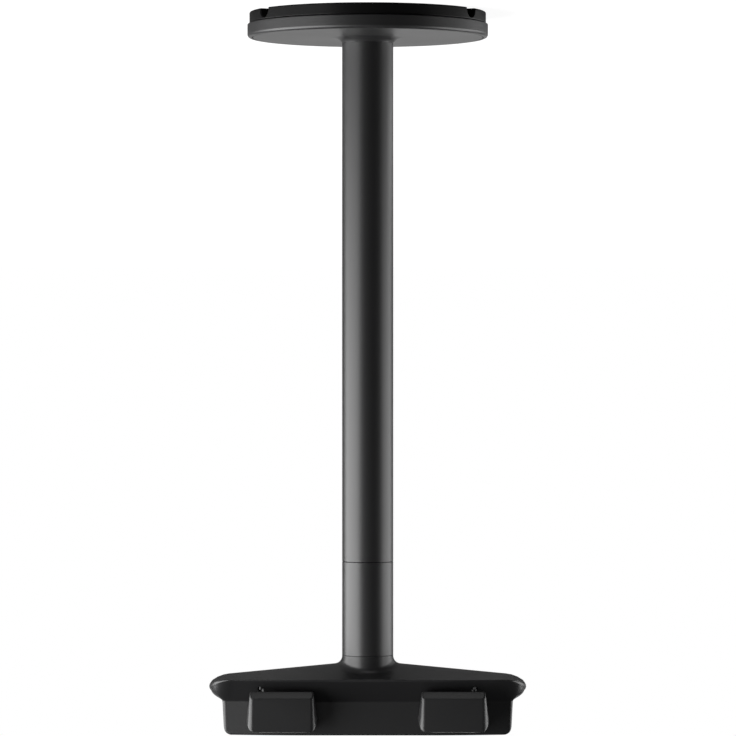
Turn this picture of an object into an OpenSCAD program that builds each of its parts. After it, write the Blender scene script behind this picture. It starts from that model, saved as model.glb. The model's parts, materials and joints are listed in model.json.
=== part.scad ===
// Headphone stand: a weighted disc foot, a round column, and a T-shaped head with two hooks that
// swivels on top of it. Millimetres, +Z up, the origin at the centre of the foot's contact face,
// and the hooks toward -Y.

/* [Foot and base] */
// Outer diameter of the disc-shaped cover
base_d = 94; // [84:1:120]
// Height of the cover's rim
rim_h = 5.1; // [3.8:0.05:8]
// Radius of the cover's upper edge
rim_edge_r = 1.2; // [0.6:0.1:1.2]
// Wall and skin thickness of the cover
cover_wall = 1.4; // [1:0.1:2]
// Width and depth of the fine groove near the cover's upper edge
groove_w = 0.4; // [0.2:0.1:0.8]
// Distance of that groove from the rim
groove_inset = 1.9; // [1.8:0.1:4]
// Height of the foot ring
foot_h = 4.4; // [3.8:0.1:8]
// Step from the cover's rim in to the foot ring
foot_inset = 0.8; // [0.4:0.1:2]
// Radial width of the foot ring
foot_w = 9; // [6:0.5:12]
// Dark gap between foot ring and rim
foot_gap = 0.35; // [0.2:0.05:0.8]
// Number of cable notches in the foot ring
notch_count = 3; // [2:1:6]
// Width of a cable notch
notch_w = 6.2; // [4:0.1:7]
// Height of a cable notch
notch_h = 3.6; // [3.1:0.1:3.6]

/* [Column] */
// Outer diameter of column, neck and collar
column_d = 20; // [18:0.5:26]
// Wall of the column tube
column_wall = 1.5; // [1.2:0.1:2]
// Length of the column tube
column_len = 202.4; // [150:0.1:320]
// Rise of the boss from the disc to the column
boss_h = 2.15; // [2:0.05:5]
// Open gap of the swivel seam
swivel_gap = 0.2; // [0.2:0.05:0.8]
// Length of the neck sleeve
neck_len = 36.4; // [30:0.1:60]
// Gap of the still seam between neck and head
neck_gap = 0.1; // [0.05:0.05:0.3]

/* [Head] */
// Height from the collar's lower end to the top
head_h = 30.9; // [30.5:0.1:40]
// Width over the wing tips
wing_w = 124; // [110:1:160]
// Width of the upright crown
crown_w = 112.4; // [104:0.2:120]
// Thickness of the crown at its middle
crown_t = 14; // [13:0.5:18]
// Depth of the wings at their middle
wing_t = 30; // [28:0.5:36]
// Height of the crown above the crease
crown_h = 13.2; // [12.5:0.1:20]
// Height of the sloping ledge
ledge_h = 8.9; // [6:0.1:10]
// Rise of the wing tips above the front edge
tip_rise = 3.9; // [2:0.1:5]
// Drop of the keel below the front edge, at the middle
keel_drop = 6.8; // [5:0.1:7]
// Radius of the crown's upper corners
crown_corner_r = 3.1; // [2:0.1:4]
// Half width of the crown's straight middle
sweep_start = 20; // [12:1:26]
// Angle at which the crown's ends sweep back
sweep_angle = 8.5; // [0:0.5:10]

/* [Hooks] */
// Distance between the two hooks' middles
hook_pitch = 66.6; // [60:0.2:76]
// Width of the flat of a hook's front face
hook_w = 22; // [18:0.5:26]
// Height of a hook's front face
hook_face_h = 12.9; // [11:0.1:13.5]
// How far a hook stands out from the crown
hook_out = 10; // [8:0.5:12]
// Thickness of the lip's lower tip
lip_t = 3.6; // [3:0.1:4.5]
// Height of the bevel under the front face
lip_bevel = 2.6; // [1:0.1:3]
// How far a hook's sides swell beyond that flat, at the hook's lower end
hook_swell_low = 1.35; // [0.5:0.05:2]
// How far a hook's sides swell beyond that flat, at the hook's upper end
hook_swell_high = 2.6; // [1:0.1:3.5]
// Draft angle of the hook's sides behind the swell
hook_draft = 1; // [0:0.5:4]
// Distance between a hook's two screws
hook_screw_pitch = 13; // [10:0.5:14]
// Diameter of the pin at the outer end of each slot
stop_pin_d = 1.2; // [1:0.1:2]

/* [Shafts and screws] */
// Diameter of the swivel spindle's journal
journal_d = 10; // [9:0.5:11]
// Diameter of the spindle's upper stem
stem_d = 12; // [11:0.5:12.5]
// Diameter of the spindle's lower thread
tail_d = 8; // [6:0.5:8]
// Length of the bearing bush in the column's upper end
bush_len = 30; // [20:1:50]
// Length of the threaded plug in the column's lower end
plug_len = 30; // [24:1:50]
// Diameter of the column bolt
base_bolt_d = 6; // [5:0.5:8]
// Diameter of the head bolt
head_bolt_d = 5; // [4:0.5:5]
// Diameter of the base screws
base_screw_d = 3; // [2.5:0.5:3]
// Diameter of the hook screws
hook_screw_d = 2.5; // [2:0.5:2.5]
// Diameter of the keying dowels
dowel_d = 2; // [1.5:0.5:2]

/* [Fits] */
// Radial clearance of the swivel journal
run_fit = 0.05; // [0.02:0.01:0.1]
// Radial clearance of parts that stay put
seat_fit = 0.05; // [0.02:0.01:0.1]
// Radial clearance of screws in plain holes
hole_fit = 0.3; // [0.2:0.05:0.5]
// Axial play at the swivel's two faces
axial_play = 0.05; // [0.02:0.01:0.1]

/* [Hidden] */
$fn = 96;

CHARCOAL = [0.13, 0.13, 0.135];
BLACK = [0.04, 0.04, 0.04];
STEEL = [0.62, 0.63, 0.64];
IRON = [0.32, 0.32, 0.33];
BRASS = [0.72, 0.58, 0.30];
BLACK_PLASTIC = [0.06, 0.06, 0.06];

EPS = 0.01;
CUT = 50;

// Heights, from the floor up
sheet_low = 1;
sheet_t = 0.6;
ballast_low = sheet_low + sheet_t;
rim_low = foot_h + foot_gap;
disc_top = rim_low + rim_h;
skin_low = disc_top - cover_wall;
column_low = disc_top + boss_h;
column_top = column_low + column_len;
neck_low = column_top + swivel_gap;
neck_top = neck_low + neck_len;
collar_low = neck_top + neck_gap;
head_top = collar_low + head_h;
crease_z = head_top - crown_h;
edge_z = crease_z - ledge_h;
keel_z = edge_z - keel_drop;
tip_z = edge_z + tip_rise;

// Radii and other values of the base
base_r = base_d / 2;
rim_inner_r = base_r - cover_wall;
foot_r = base_r - foot_inset;
foot_inner_r = foot_r - foot_w;
ballast_lower_r = foot_inner_r - 0.4;
column_r = column_d / 2;
tube_inner_r = column_r - column_wall;
plug_r = tube_inner_r - seat_fit / 2;
hub_r = 8;
hub_top = skin_low + 3;
spigot_h = 2;
washer_t = 1;
lock_t = 1.2;
base_head_h = 3.3;
base_head_r = base_bolt_d * 0.875;
base_pocket_r = base_head_r + 2;
pocket_top = skin_low;
base_screw_ring_r = foot_inner_r - 9;
base_screw_n = 3;
lug_r = 3.2;
base_screw_len = 3;
base_screw_head_h = 1.6;
base_screw_seat = ballast_low + 2;
column_bolt_len = 30;
seam_bevel = 0.15;

// Swivel
bush_top = column_top - 0.8;
bush_low = bush_top - bush_len;
shoulder_h = 3;
shoulder_r = tube_inner_r - 0.1;
journal_low = bush_low - 2;
nut_h = 8;
spindle_washer_t = 1.5;
tail_low = journal_low - spindle_washer_t - nut_h - 2;
stack_r = tube_inner_r - 0.75;
wave_h = 1.9;
wave_t = 0.5;
wave_inner_r = journal_d / 2 + 0.25;
wave_amp = (wave_h - wave_t) / 2;
wave_mid = journal_low + axial_play + wave_amp;
WAVE_STEPS = 48;
stem_top = collar_low + 10.9;
spindle_bore_deep = 16;
socket_top = stem_top + 0.3;
web_top = socket_top + 4;
head_bolt_len = 18;
head_cap_h = 5;
head_cap_r = head_bolt_d * 0.85;
dowel_len = 6;
dowel_ring_r = (stem_d / 2 + shoulder_r) / 2;

// Head outline: the crown's straight middle, an arc, and straight ends that sweep back
crown_end = crown_w / 2;
wing_end = wing_w / 2;
sweep_end = sweep_start + (crown_end - sweep_start) * 0.72;
sweep_r = sweep_angle > 0 ? (sweep_end - sweep_start) / sin(sweep_angle) : 1;
nose_start = wing_end - 9;
wing_edge_r = 0.8;
keel_slope = 0.097;
tip_round = 10.6;
pad_rim = 1.4;
pad_end_cut = 6;
pad_t = 1.2;
end_chamfer = 1.2;

// Hooks
hook_face_y = -(crown_t / 2 + hook_out);
hook_face_low = head_top - 2.2 - hook_face_h;
hook_face_top = hook_face_low + hook_face_h;
hook_low = hook_face_low - lip_bevel;
hook_slot_top = hook_face_low + 8.6;
hook_base_top = head_top - 0.6;
hook_root_y = -2;
hook_low_r = 0.8;
hook_front_r = 1.6;
hook_root_r = 6.5;
tenon_w = 7;
tenon_h = 3.6;
tenon_deep = 2.2;
fixing_z = hook_slot_top + 2;
mortise_floor_y = -(crown_t / 2 - tenon_deep - sweep_back(hook_pitch / 2));
hook_head_h = 2.2;
hook_head_r = hook_screw_d * 0.93;
hook_seat_y = crown_t / 2 - 4.4;
hook_screw_in = 7;
stop_pin_y = crown_t / 2 + 3.6;
stop_pin_low = edge_z + 0.3;
stop_pin_top = edge_z + 3.8;

// How far the head's front line lies behind its middle, at a distance x from the middle
function sweep_back(x) =
    sweep_angle <= 0 || x <= sweep_start ? 0
    : x < sweep_end ? sweep_r - sqrt(sweep_r * sweep_r - (x - sweep_start) * (x - sweep_start))
    : sweep_r * (1 - cos(sweep_angle)) + (x - sweep_end) * tan(sweep_angle);

// Points of an arc from angle a0 to a1, both included
function arc(cx, cy, r, a0, a1, n = 12) =
    [for (i = [0:n]) let (a = a0 + (a1 - a0) * i / n) [cx + r * cos(a), cy + r * sin(a)]];

// Half depth of the wing at x: it follows the sweep, then rounds to nothing at the tip
function wing_half(x) =
    let (straight = wing_t / 2 - sweep_back(min(x, nose_start)))
    x <= nose_start ? straight
    : straight * sqrt(max(0, 1 - pow((x - nose_start) / (wing_end - nose_start), 2)));

// Height of the wing's edge at x
function wing_edge_z(x) =
    x <= nose_start ? edge_z
    : edge_z + tip_rise * (1 - sqrt(max(0, 1 - pow((x - nose_start) / (wing_end - nose_start), 2))));

// Height of the keel at x: a straight slope that meets the tip in a quarter of an ellipse
function keel_height(x) =
    let (bend = wing_end - tip_round, low = keel_z + keel_slope * min(x, bend))
    x <= bend ? low : tip_z - (tip_z - low) * sqrt(max(0, 1 - pow((x - bend) / tip_round, 2)));

module ring(r_out, r_in, low, high) {
    translate([0, 0, low]) difference() {
        cylinder(r = r_out, h = high - low);
        translate([0, 0, -EPS]) cylinder(r = r_in, h = high - low + 2 * EPS);
    }
}

module around(n, start = 0) {
    for (i = [0:n - 1]) rotate([0, 0, start + i * 360 / n]) children();
}

// A hexagonal prism, by its width across flats
module hex(flats, h) {
    cylinder(r = flats / 2 / cos(30), h = h, $fn = 6);
}

// ---- Base ----

module foot_ring() color(BLACK) difference() {
    rotate_extrude() polygon([
        [foot_inner_r, 0], [foot_r - 0.4, 0], [foot_r, 0.4],
        [foot_r, foot_h - 0.3], [foot_r - 0.3, foot_h], [foot_inner_r, foot_h]
    ]);
    notch_side = notch_h - notch_w / 2;
    around(notch_count, 90) translate([foot_inner_r - foot_w / 2, 0, 0]) {
        translate([0, -notch_w / 2, -EPS]) cube([2 * foot_w, notch_w, max(0, notch_side) + EPS]);
        translate([0, 0, notch_side]) rotate([0, 90, 0]) cylinder(d = notch_w, h = 2 * foot_w);
    }
}

module base_sheet() color(BLACK) translate([0, 0, sheet_low])
    cylinder(r = ballast_lower_r - 0.4, h = sheet_t);

module ballast_plate() color(IRON) difference() {
    rotate_extrude() polygon([
        [0, ballast_low], [ballast_lower_r, ballast_low], [ballast_lower_r, foot_h],
        [rim_inner_r - 0.1, foot_h], [rim_inner_r - 0.1, skin_low], [hub_r, skin_low],
        [hub_r, hub_top], [0, hub_top]
    ]);
    translate([0, 0, -EPS]) cylinder(r = base_pocket_r, h = pocket_top + EPS);
    cylinder(r = base_bolt_d / 2 + hole_fit, h = CUT);
    around(base_screw_n, 30) translate([base_screw_ring_r, 0, 0]) {
        cylinder(d = base_screw_d + 2 * hole_fit, h = CUT);
        cylinder(r = base_screw_d, h = base_screw_seat);
        translate([0, 0, base_screw_seat + 0.8]) cylinder(r = lug_r + seat_fit, h = CUT);
    }
}

module base_cover() color(CHARCOAL) difference() {
    union() {
        rotate_extrude() polygon(concat(
            [[0, skin_low], [rim_inner_r, skin_low], [rim_inner_r, rim_low], [base_r - 0.3, rim_low]],
            [[base_r, rim_low + 0.3]],
            arc(base_r - rim_edge_r, disc_top - rim_edge_r, rim_edge_r, 0, 90),
            [
                [base_r - groove_inset + groove_w / 2, disc_top],
                [base_r - groove_inset, disc_top - groove_w],
                [base_r - groove_inset - groove_w / 2, disc_top]
            ],
            arc(column_r + boss_h, column_low, boss_h, 270, 180),
            [
                [tube_inner_r - seat_fit, column_low], [tube_inner_r - seat_fit, column_low + spigot_h - 0.3],
                [tube_inner_r - seat_fit - 0.3, column_low + spigot_h], [0, column_low + spigot_h]
            ]
        ));
        around(base_screw_n, 30) translate([base_screw_ring_r, 0, base_screw_seat + 1])
            cylinder(r = lug_r, h = skin_low - base_screw_seat - 1 + EPS);
    }
    translate([0, 0, -EPS]) cylinder(r = hub_r + seat_fit, h = hub_top + 0.1);
    cylinder(r = base_bolt_d / 2 + hole_fit, h = CUT);
    around(base_screw_n, 30) translate([base_screw_ring_r, 0, base_screw_seat])
        cylinder(d = base_screw_d + 2 * seat_fit, h = base_screw_len + 0.2);
}

// A round-headed screw along +Z from the underside of its head, with a hexagon socket
module socket_screw(d, len, head_r, head_h, key) difference() {
    union() {
        translate([0, 0, -head_h]) cylinder(r = head_r, h = head_h);
        cylinder(d = d, h = len - 0.4);
        translate([0, 0, len - 0.4]) cylinder(d1 = d, d2 = d - 0.8, h = 0.4);
    }
    translate([0, 0, -head_h - EPS]) hex(key, head_h * 0.6);
}

module base_screws() color(STEEL) around(base_screw_n, 30)
    translate([base_screw_ring_r, 0, base_screw_seat])
        socket_screw(base_screw_d, base_screw_len, base_screw_d * 0.92, base_screw_head_h, base_screw_d / 2);

module column_bolt() color(STEEL)
    translate([0, 0, pocket_top - washer_t - lock_t])
        socket_screw(base_bolt_d, column_bolt_len, base_head_r, base_head_h, base_bolt_d * 0.66);

module column_lock_washer() color(STEEL) difference() {
    ring(base_head_r, base_bolt_d / 2 + hole_fit, pocket_top - washer_t - lock_t, pocket_top - washer_t);
    translate([0, -0.4, 0]) cube([CUT, 0.8, CUT]);
}

module column_washer() color(STEEL)
    ring(base_pocket_r - 0.4, base_bolt_d / 2 + hole_fit, pocket_top - washer_t, pocket_top);

// ---- Column ----

module lower_plug() color(STEEL) difference() {
    translate([0, 0, column_low + spigot_h + 0.2]) {
        cylinder(r = plug_r, h = plug_len - 0.5);
        translate([0, 0, plug_len - 0.5]) cylinder(r1 = plug_r, r2 = plug_r - 0.5, h = 0.5);
    }
    translate([0, 0, column_low]) cylinder(d = base_bolt_d + 2 * seat_fit, h = plug_len - 4);
}

module column_tube() color(CHARCOAL) rotate_extrude() polygon([
    [tube_inner_r, column_low], [column_r - seam_bevel, column_low], [column_r, column_low + seam_bevel],
    [column_r, column_top - seam_bevel], [column_r - seam_bevel, column_top], [tube_inner_r, column_top]
]);

module bearing_bush() color(BRASS) ring(plug_r, journal_d / 2 + run_fit, bush_low, bush_top);

// ---- Swivel ----

module thrust_washer() color(BLACK_PLASTIC)
    ring(tube_inner_r - 0.3, journal_d / 2 + run_fit, bush_top, neck_low - axial_play);

// A corner of the wave washer's strip: step i round it, at radius r, raised by up
function wave_corner(i, r, up) =
    let (a = i * 360 / WAVE_STEPS) [r * cos(a), r * sin(a), wave_mid + wave_amp * cos(3 * a) + up];

// A spring washer with three waves, as a thin strip bent up and down round the journal
module wave_washer() color(STEEL) polyhedron(
    points = [for (i = [0:WAVE_STEPS - 1]) each [
        wave_corner(i, wave_inner_r, 0), wave_corner(i, stack_r, 0),
        wave_corner(i, stack_r, wave_t), wave_corner(i, wave_inner_r, wave_t)
    ]],
    faces = [for (i = [0:WAVE_STEPS - 1], k = [0:3])
        let (a = 4 * i + k, b = 4 * i + (k + 1) % 4, c = 4 * ((i + 1) % WAVE_STEPS))
        [a, b, c + (k + 1) % 4, c + k]],
    convexity = 4
);

module spindle_washer() color(STEEL)
    ring(stack_r, tail_d / 2 + 0.15, journal_low - spindle_washer_t, journal_low);

module spindle_nut() color(STEEL) translate([0, 0, journal_low - spindle_washer_t - nut_h]) difference() {
    union() {
        hex(tail_d * 1.6, nut_h - 2);
        translate([0, 0, 0.5]) cylinder(d = tail_d * 1.5, h = nut_h - 0.5);
    }
    translate([0, 0, -EPS]) cylinder(d = tail_d + 2 * seat_fit, h = nut_h + 1);
}

module swivel_spindle() color(STEEL) difference() {
    rotate_extrude() polygon([
        [0, tail_low], [tail_d / 2 - 0.6, tail_low], [tail_d / 2, tail_low + 0.6],
        [tail_d / 2, journal_low], [journal_d / 2, journal_low],
        [journal_d / 2, neck_low], [shoulder_r, neck_low],
        [shoulder_r, neck_low + shoulder_h], [stem_d / 2, neck_low + shoulder_h],
        [stem_d / 2, stem_top - 0.6], [stem_d / 2 - 0.6, stem_top], [0, stem_top]
    ]);
    translate([0, 0, stem_top - spindle_bore_deep]) cylinder(d = head_bolt_d + 2 * seat_fit, h = CUT);
    translate([dowel_ring_r, 0, neck_low + shoulder_h - 2.5]) cylinder(d = dowel_d + 2 * seat_fit, h = CUT);
}

module neck_sleeve() color(CHARCOAL) difference() {
    rotate_extrude() polygon([
        [shoulder_r + seat_fit, neck_low], [column_r - seam_bevel, neck_low],
        [column_r, neck_low + seam_bevel], [column_r, neck_top - 0.1],
        [column_r - 0.1, neck_top], [stem_d / 2 + seat_fit, neck_top],
        [stem_d / 2 + seat_fit, neck_low + shoulder_h], [shoulder_r + seat_fit, neck_low + shoulder_h]
    ]);
    translate([dowel_ring_r, 0, neck_low]) cylinder(d = dowel_d + 2 * seat_fit, h = shoulder_h + 4);
    translate([dowel_ring_r, 0, neck_top - 3]) cylinder(d = dowel_d + 2 * seat_fit, h = CUT);
}

module neck_dowels() color(STEEL) for (low = [neck_low + shoulder_h - 2.4, neck_top - 2.9])
    translate([dowel_ring_r, 0, low]) cylinder(d = dowel_d, h = dowel_len);

// ---- Head ----

// The crown seen from above, with its ends swept back
module crown_plan(inset = 0, cut = 0) {
    end_x = crown_end - cut;
    side = concat(
        [0, sweep_start],
        [for (i = [1:6]) sweep_start + (sweep_end - sweep_start) * i / 6],
        [end_x - end_chamfer]
    );
    front = [for (x = side) [x, crown_t / 2 - sweep_back(x) - inset]];
    end = [[end_x, crown_t / 2 - sweep_back(end_x) - inset - end_chamfer]];
    quarter = concat(front, end);
    n = len(quarter);
    polygon(concat(
        [for (p = quarter) [p[0], -p[1]]],
        [for (i = [n - 1:-1:0]) quarter[i]],
        [for (i = [1:n - 1]) [-quarter[i][0], quarter[i][1]]],
        [for (i = [n - 1:-1:1]) [-quarter[i][0], -quarter[i][1]]]
    ));
}

// The crown seen from the front, with its rounded upper corners
module crown_face() {
    low = edge_z + 2;
    polygon(concat(
        [[-crown_end, low], [crown_end, low]],
        arc(crown_end - crown_corner_r, head_top - crown_corner_r, crown_corner_r, 0, 90, 8),
        arc(-crown_end + crown_corner_r, head_top - crown_corner_r, crown_corner_r, 90, 180, 8)
    ));
}

module crown_blank() intersection() {
    translate([0, 0, edge_z]) linear_extrude(height = head_top - edge_z + 1) crown_plan();
    rotate([90, 0, 0]) linear_extrude(height = CUT, center = true) crown_face();
}

// The wings: one hull over the keel line, the edge line and the crease line
module wing_blank() {
    nose = wing_end - nose_start;
    nose_x = [for (a = [0:18:90]) nose_start + (nose - wing_edge_r) * sin(a)];
    edge_x = concat([0, sweep_start, sweep_end], nose_x);
    hull() {
        for (sx = [-1, 1]) {
            for (x = edge_x, sy = [-1, 1]) {
                y = sy * max(0, wing_half(x) - wing_edge_r);
                translate([sx * x, y, wing_edge_z(x) + wing_edge_r * 0.6]) sphere(r = wing_edge_r, $fn = 8);
            }
            for (x = concat([0], [for (k = [1, 0.53, 0.22]) wing_end - k * tip_round]))
                translate([sx * x, 0, keel_height(x) + wing_edge_r]) sphere(r = wing_edge_r, $fn = 8);
            for (x = [0, sweep_start, sweep_end, crown_end], sy = [-1, 1]) {
                y = sy * (crown_t / 2 - sweep_back(x) - 0.5);
                translate([sx * x, y, crease_z - 0.25]) cube(0.5, center = true);
            }
        }
    }
}

module mortise(side) translate([side * hook_pitch / 2 - tenon_w / 2 - seat_fit, mortise_floor_y - CUT,
    fixing_z - tenon_h / 2 - seat_fit])
    cube([tenon_w + 2 * seat_fit, CUT, tenon_h + 2 * seat_fit]);

module at_hook_screws() for (side = [-1, 1], k = [-1, 1])
    translate([side * hook_pitch / 2 + k * hook_screw_pitch / 2, hook_seat_y, fixing_z]) children();

module at_hook_pins() for (side = [-1, 1])
    translate([side * (hook_pitch / 2 + hook_w / 2 - 2.8), -stop_pin_y, stop_pin_low]) children();

module head_yoke() color(CHARCOAL) difference() {
    union() {
        crown_blank();
        wing_blank();
        translate([0, 0, collar_low]) {
            cylinder(r1 = column_r - 0.1, r2 = column_r, h = 0.1);
            translate([0, 0, 0.1]) cylinder(r = column_r, h = edge_z - collar_low);
        }
    }
    translate([0, 0, collar_low - EPS]) {
        cylinder(d = stem_d + 2 * seat_fit, h = socket_top - collar_low + EPS);
        translate([dowel_ring_r, 0, 0]) cylinder(d = dowel_d + 2 * seat_fit, h = dowel_len - 2.5);
    }
    cylinder(r = head_bolt_d / 2 + hole_fit, h = head_top + 1);
    translate([0, 0, web_top]) cylinder(r = head_cap_r + 1.1, h = CUT);
    translate([0, 0, head_top - pad_t]) linear_extrude(height = CUT) crown_plan(pad_rim, pad_end_cut);
    for (side = [-1, 1]) mortise(side);
    at_hook_screws() rotate([-90, 0, 0]) cylinder(r = hook_head_r + hole_fit, h = CUT);
    at_hook_screws() rotate([90, 0, 0]) cylinder(d = hook_screw_d + 2 * hole_fit, h = crown_t);
    at_hook_pins() cylinder(d = stop_pin_d + 2 * seat_fit, h = CUT);
}

module head_bolt() color(STEEL) translate([0, 0, web_top + washer_t]) rotate([180, 0, 0])
    socket_screw(head_bolt_d, head_bolt_len, head_cap_r, head_cap_h, head_bolt_d * 0.8);

module head_washer() color(STEEL)
    ring(head_cap_r + 0.9, head_bolt_d / 2 + hole_fit, web_top, web_top + washer_t);

module top_pad() color(BLACK) translate([0, 0, head_top - pad_t])
    linear_extrude(height = pad_t) crown_plan(pad_rim + seat_fit, pad_end_cut + seat_fit);

// ---- Hooks ----

// Half of a hook's width at a depth behind its face, where its sides swell out by the given amount
function hook_half(swell, depth) = hook_w / 2 + max(0, depth - swell) * tan(hook_draft)
    + (depth < swell ? sqrt(2 * swell * depth - depth * depth) : swell);

// A thin slice of a hook at a depth behind its face, with rounded corners
module hook_slice(depth) {
    share = depth / (hook_root_y - hook_face_y);
    low = max(hook_low, hook_face_low - depth / 0.7);
    high = hook_face_top + (hook_base_top - hook_face_top) * share;
    high_r = hook_front_r + (hook_root_r - hook_front_r) * share;
    translate([0, hook_face_y + depth, 0]) rotate([90, 0, 0]) for (sx = [-1, 1]) {
        translate([sx * (hook_half(hook_swell_low, depth) - hook_low_r), low + hook_low_r, -EPS])
            cylinder(r = hook_low_r, h = EPS, $fn = 24);
        translate([sx * (hook_half(hook_swell_high, depth) - high_r), high - high_r, -EPS])
            cylinder(r = high_r, h = EPS, $fn = 32);
    }
}

module hook_blank() hull()
    for (depth = [0, 0.35, 1, lip_bevel * 0.7, hook_swell_high, hook_root_y - hook_face_y]) hook_slice(depth);

// The tapering slot behind a hook's lip, open below
module hook_slot() {
    tip_y = hook_face_y + lip_bevel * 0.7 + lip_t * 0.6;
    wall_y = -crown_t / 2;
    rotate([90, 0, 90]) linear_extrude(height = wing_w, center = true) polygon([
        [tip_y, hook_low - 5], [0, hook_low - 5], [0, hook_slot_top],
        [wall_y, hook_slot_top], [tip_y, hook_low]
    ]);
}

module hook(side) color(CHARCOAL) difference() {
    union() {
        difference() {
            translate([side * hook_pitch / 2, 0, 0]) hook_blank();
            hook_slot();
            crown_blank();
        }
        translate([side * hook_pitch / 2 - tenon_w / 2, mortise_floor_y - 4, fixing_z - tenon_h / 2])
            cube([tenon_w, 4, tenon_h]);
    }
    at_hook_screws() rotate([90, 0, 0])
        cylinder(d = hook_screw_d + 2 * seat_fit, h = hook_seat_y - mortise_floor_y + hook_screw_in + 0.5);
}

module hook_left() hook(1);

module hook_right() hook(-1);

module hook_screws() color(STEEL) at_hook_screws() rotate([90, 0, 0])
    socket_screw(hook_screw_d, hook_seat_y - mortise_floor_y + hook_screw_in, hook_head_r, hook_head_h, 2);

module hook_pins() color(BLACK_PLASTIC) at_hook_pins() cylinder(d = stop_pin_d, h = stop_pin_top - stop_pin_low);

foot_ring();
base_sheet();
ballast_plate();
base_cover();
base_screws();
column_bolt();
column_lock_washer();
column_washer();
lower_plug();
column_tube();
bearing_bush();
thrust_washer();
wave_washer();
spindle_washer();
spindle_nut();
swivel_spindle();
neck_sleeve();
neck_dowels();
head_yoke();
head_bolt();
head_washer();
top_pad();
hook_left();
hook_right();
hook_screws();
hook_pins();
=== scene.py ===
"""Headphone stand: finely modelled pieces and their finishes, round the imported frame.

The stand rests on z = 0, its column runs along +Z and its hooks point toward -Y. Sizes are in
millimetres until a mesh is made. A length that the frame holds is read from its boxes, and the
others are fields of the sub-assembly that they belong to.
"""

import json
import logging
import math
from dataclasses import dataclass, field
from enum import Enum
from typing import Sequence

import bmesh
import bpy
import numpy as np
from mathutils import Matrix, Vector


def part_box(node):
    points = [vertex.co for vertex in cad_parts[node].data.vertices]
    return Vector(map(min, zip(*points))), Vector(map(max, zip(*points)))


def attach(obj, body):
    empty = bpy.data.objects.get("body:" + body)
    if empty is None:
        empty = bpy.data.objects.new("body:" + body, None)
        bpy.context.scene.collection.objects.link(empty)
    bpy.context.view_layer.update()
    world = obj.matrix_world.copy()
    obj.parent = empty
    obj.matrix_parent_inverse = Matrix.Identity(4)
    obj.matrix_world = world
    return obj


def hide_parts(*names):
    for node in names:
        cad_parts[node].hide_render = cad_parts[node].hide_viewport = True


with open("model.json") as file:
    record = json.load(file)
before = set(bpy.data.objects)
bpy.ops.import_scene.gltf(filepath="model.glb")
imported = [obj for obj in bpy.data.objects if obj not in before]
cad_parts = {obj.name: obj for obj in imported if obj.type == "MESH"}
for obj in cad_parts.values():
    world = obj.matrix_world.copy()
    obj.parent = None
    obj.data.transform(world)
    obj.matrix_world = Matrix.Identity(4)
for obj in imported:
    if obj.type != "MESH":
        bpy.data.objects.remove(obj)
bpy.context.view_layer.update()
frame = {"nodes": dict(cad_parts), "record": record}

Value = float | bpy.types.NodeSocket
Links = dict[str | int, object]

MM = 0.001
MERGE_REACH = 0.002
THINNEST = 0.001
NEARLY_STRAIGHT = 0.9999
LOG = logging.getLogger("headphone_stand")


# ---------------------------------------------------------------------------------------------
# Drawing tools
# ---------------------------------------------------------------------------------------------


def node_box(node: str) -> tuple[np.ndarray, np.ndarray]:
    """Lowest and highest corner of a frame node.

    Args:
        node: Name of the node.

    Returns:
        The two corners in millimetres.
    """
    low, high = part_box(node)
    return np.array(low) / MM, np.array(high) / MM


def unit(vectors: np.ndarray) -> np.ndarray:
    """Vectors of length one along the last axis."""
    return vectors / np.linalg.norm(vectors, axis=-1, keepdims=True)


def fillet(
    corner: np.ndarray, first: np.ndarray, second: np.ndarray, radius: float, steps: int
) -> np.ndarray:
    """Arcs that round corners and are tangent to both of their sides.

    Args:
        corner: Corners, one per row.
        first: Unit directions from each corner along the side where the arc starts.
        second: Unit directions from each corner along the side where the arc stops.
        radius: Radius of the arcs.
        steps: Number of steps along each arc.

    Returns:
        An array of steps + 1 rows of points, from the first side to the second.
    """
    cosine = (first * second).sum(-1, keepdims=True)
    half = np.arccos(np.clip(cosine, -NEARLY_STRAIGHT, NEARLY_STRAIGHT)) / 2
    centre = corner + unit(first + second) * radius / np.sin(half)
    start = corner + first * radius / np.tan(half) - centre
    stop = corner + second * radius / np.tan(half) - centre
    sweep = math.pi - 2 * half
    along = np.linspace(0, 1, steps + 1).reshape(-1, *([1] * corner.ndim))
    from_centre = np.sin((1 - along) * sweep) * start + np.sin(along * sweep) * stop
    return centre + from_centre / np.sin(sweep)


def rounding_wear(steps: int, least: float = 0.2) -> np.ndarray:
    """How much each point of a rounding is worn: most at its middle, and little at its ends."""
    return np.sin(np.linspace(0, math.pi, steps + 1)).clip(least)


@dataclass(frozen=True)
class Corner:
    """A corner of a section: its distance from the axis, its height and its rounding."""

    across: float
    up: float
    radius: float = 0.0


def soften(
    corners: Sequence[Corner], steps: int = 5, hold: float = 0.15, least_wear: float = 0.25
) -> tuple[np.ndarray, np.ndarray]:
    """Rounds the corners of a closed section.

    Args:
        corners: The section's corners in order.
        steps: Number of steps in each rounding.
        hold: Distance from a rounding at which a point keeps the straight side straight.
        least_wear: Wear at the ends of a rounding.

    Returns:
        The section's points, and how much each is worn: 1 on a rounding and 0 on a straight side.
    """
    places = np.array([[c.across, c.up] for c in corners])
    points, wear = [], []
    for index, corner in enumerate(corners):
        here, before, after = places[index], places[index - 1], places[(index + 1) % len(corners)]
        if corner.radius == 0:
            points.append(here)
            wear.append(0.0)
            continue
        back, ahead = unit(before - here), unit(after - here)
        arc = fillet(here, back, ahead, corner.radius, steps)
        points += [arc[0] + back * hold, *arc, arc[-1] + ahead * hold]
        wear += [0.0, *rounding_wear(steps, least_wear), 0.0]
    return np.array(points), np.array(wear)


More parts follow.
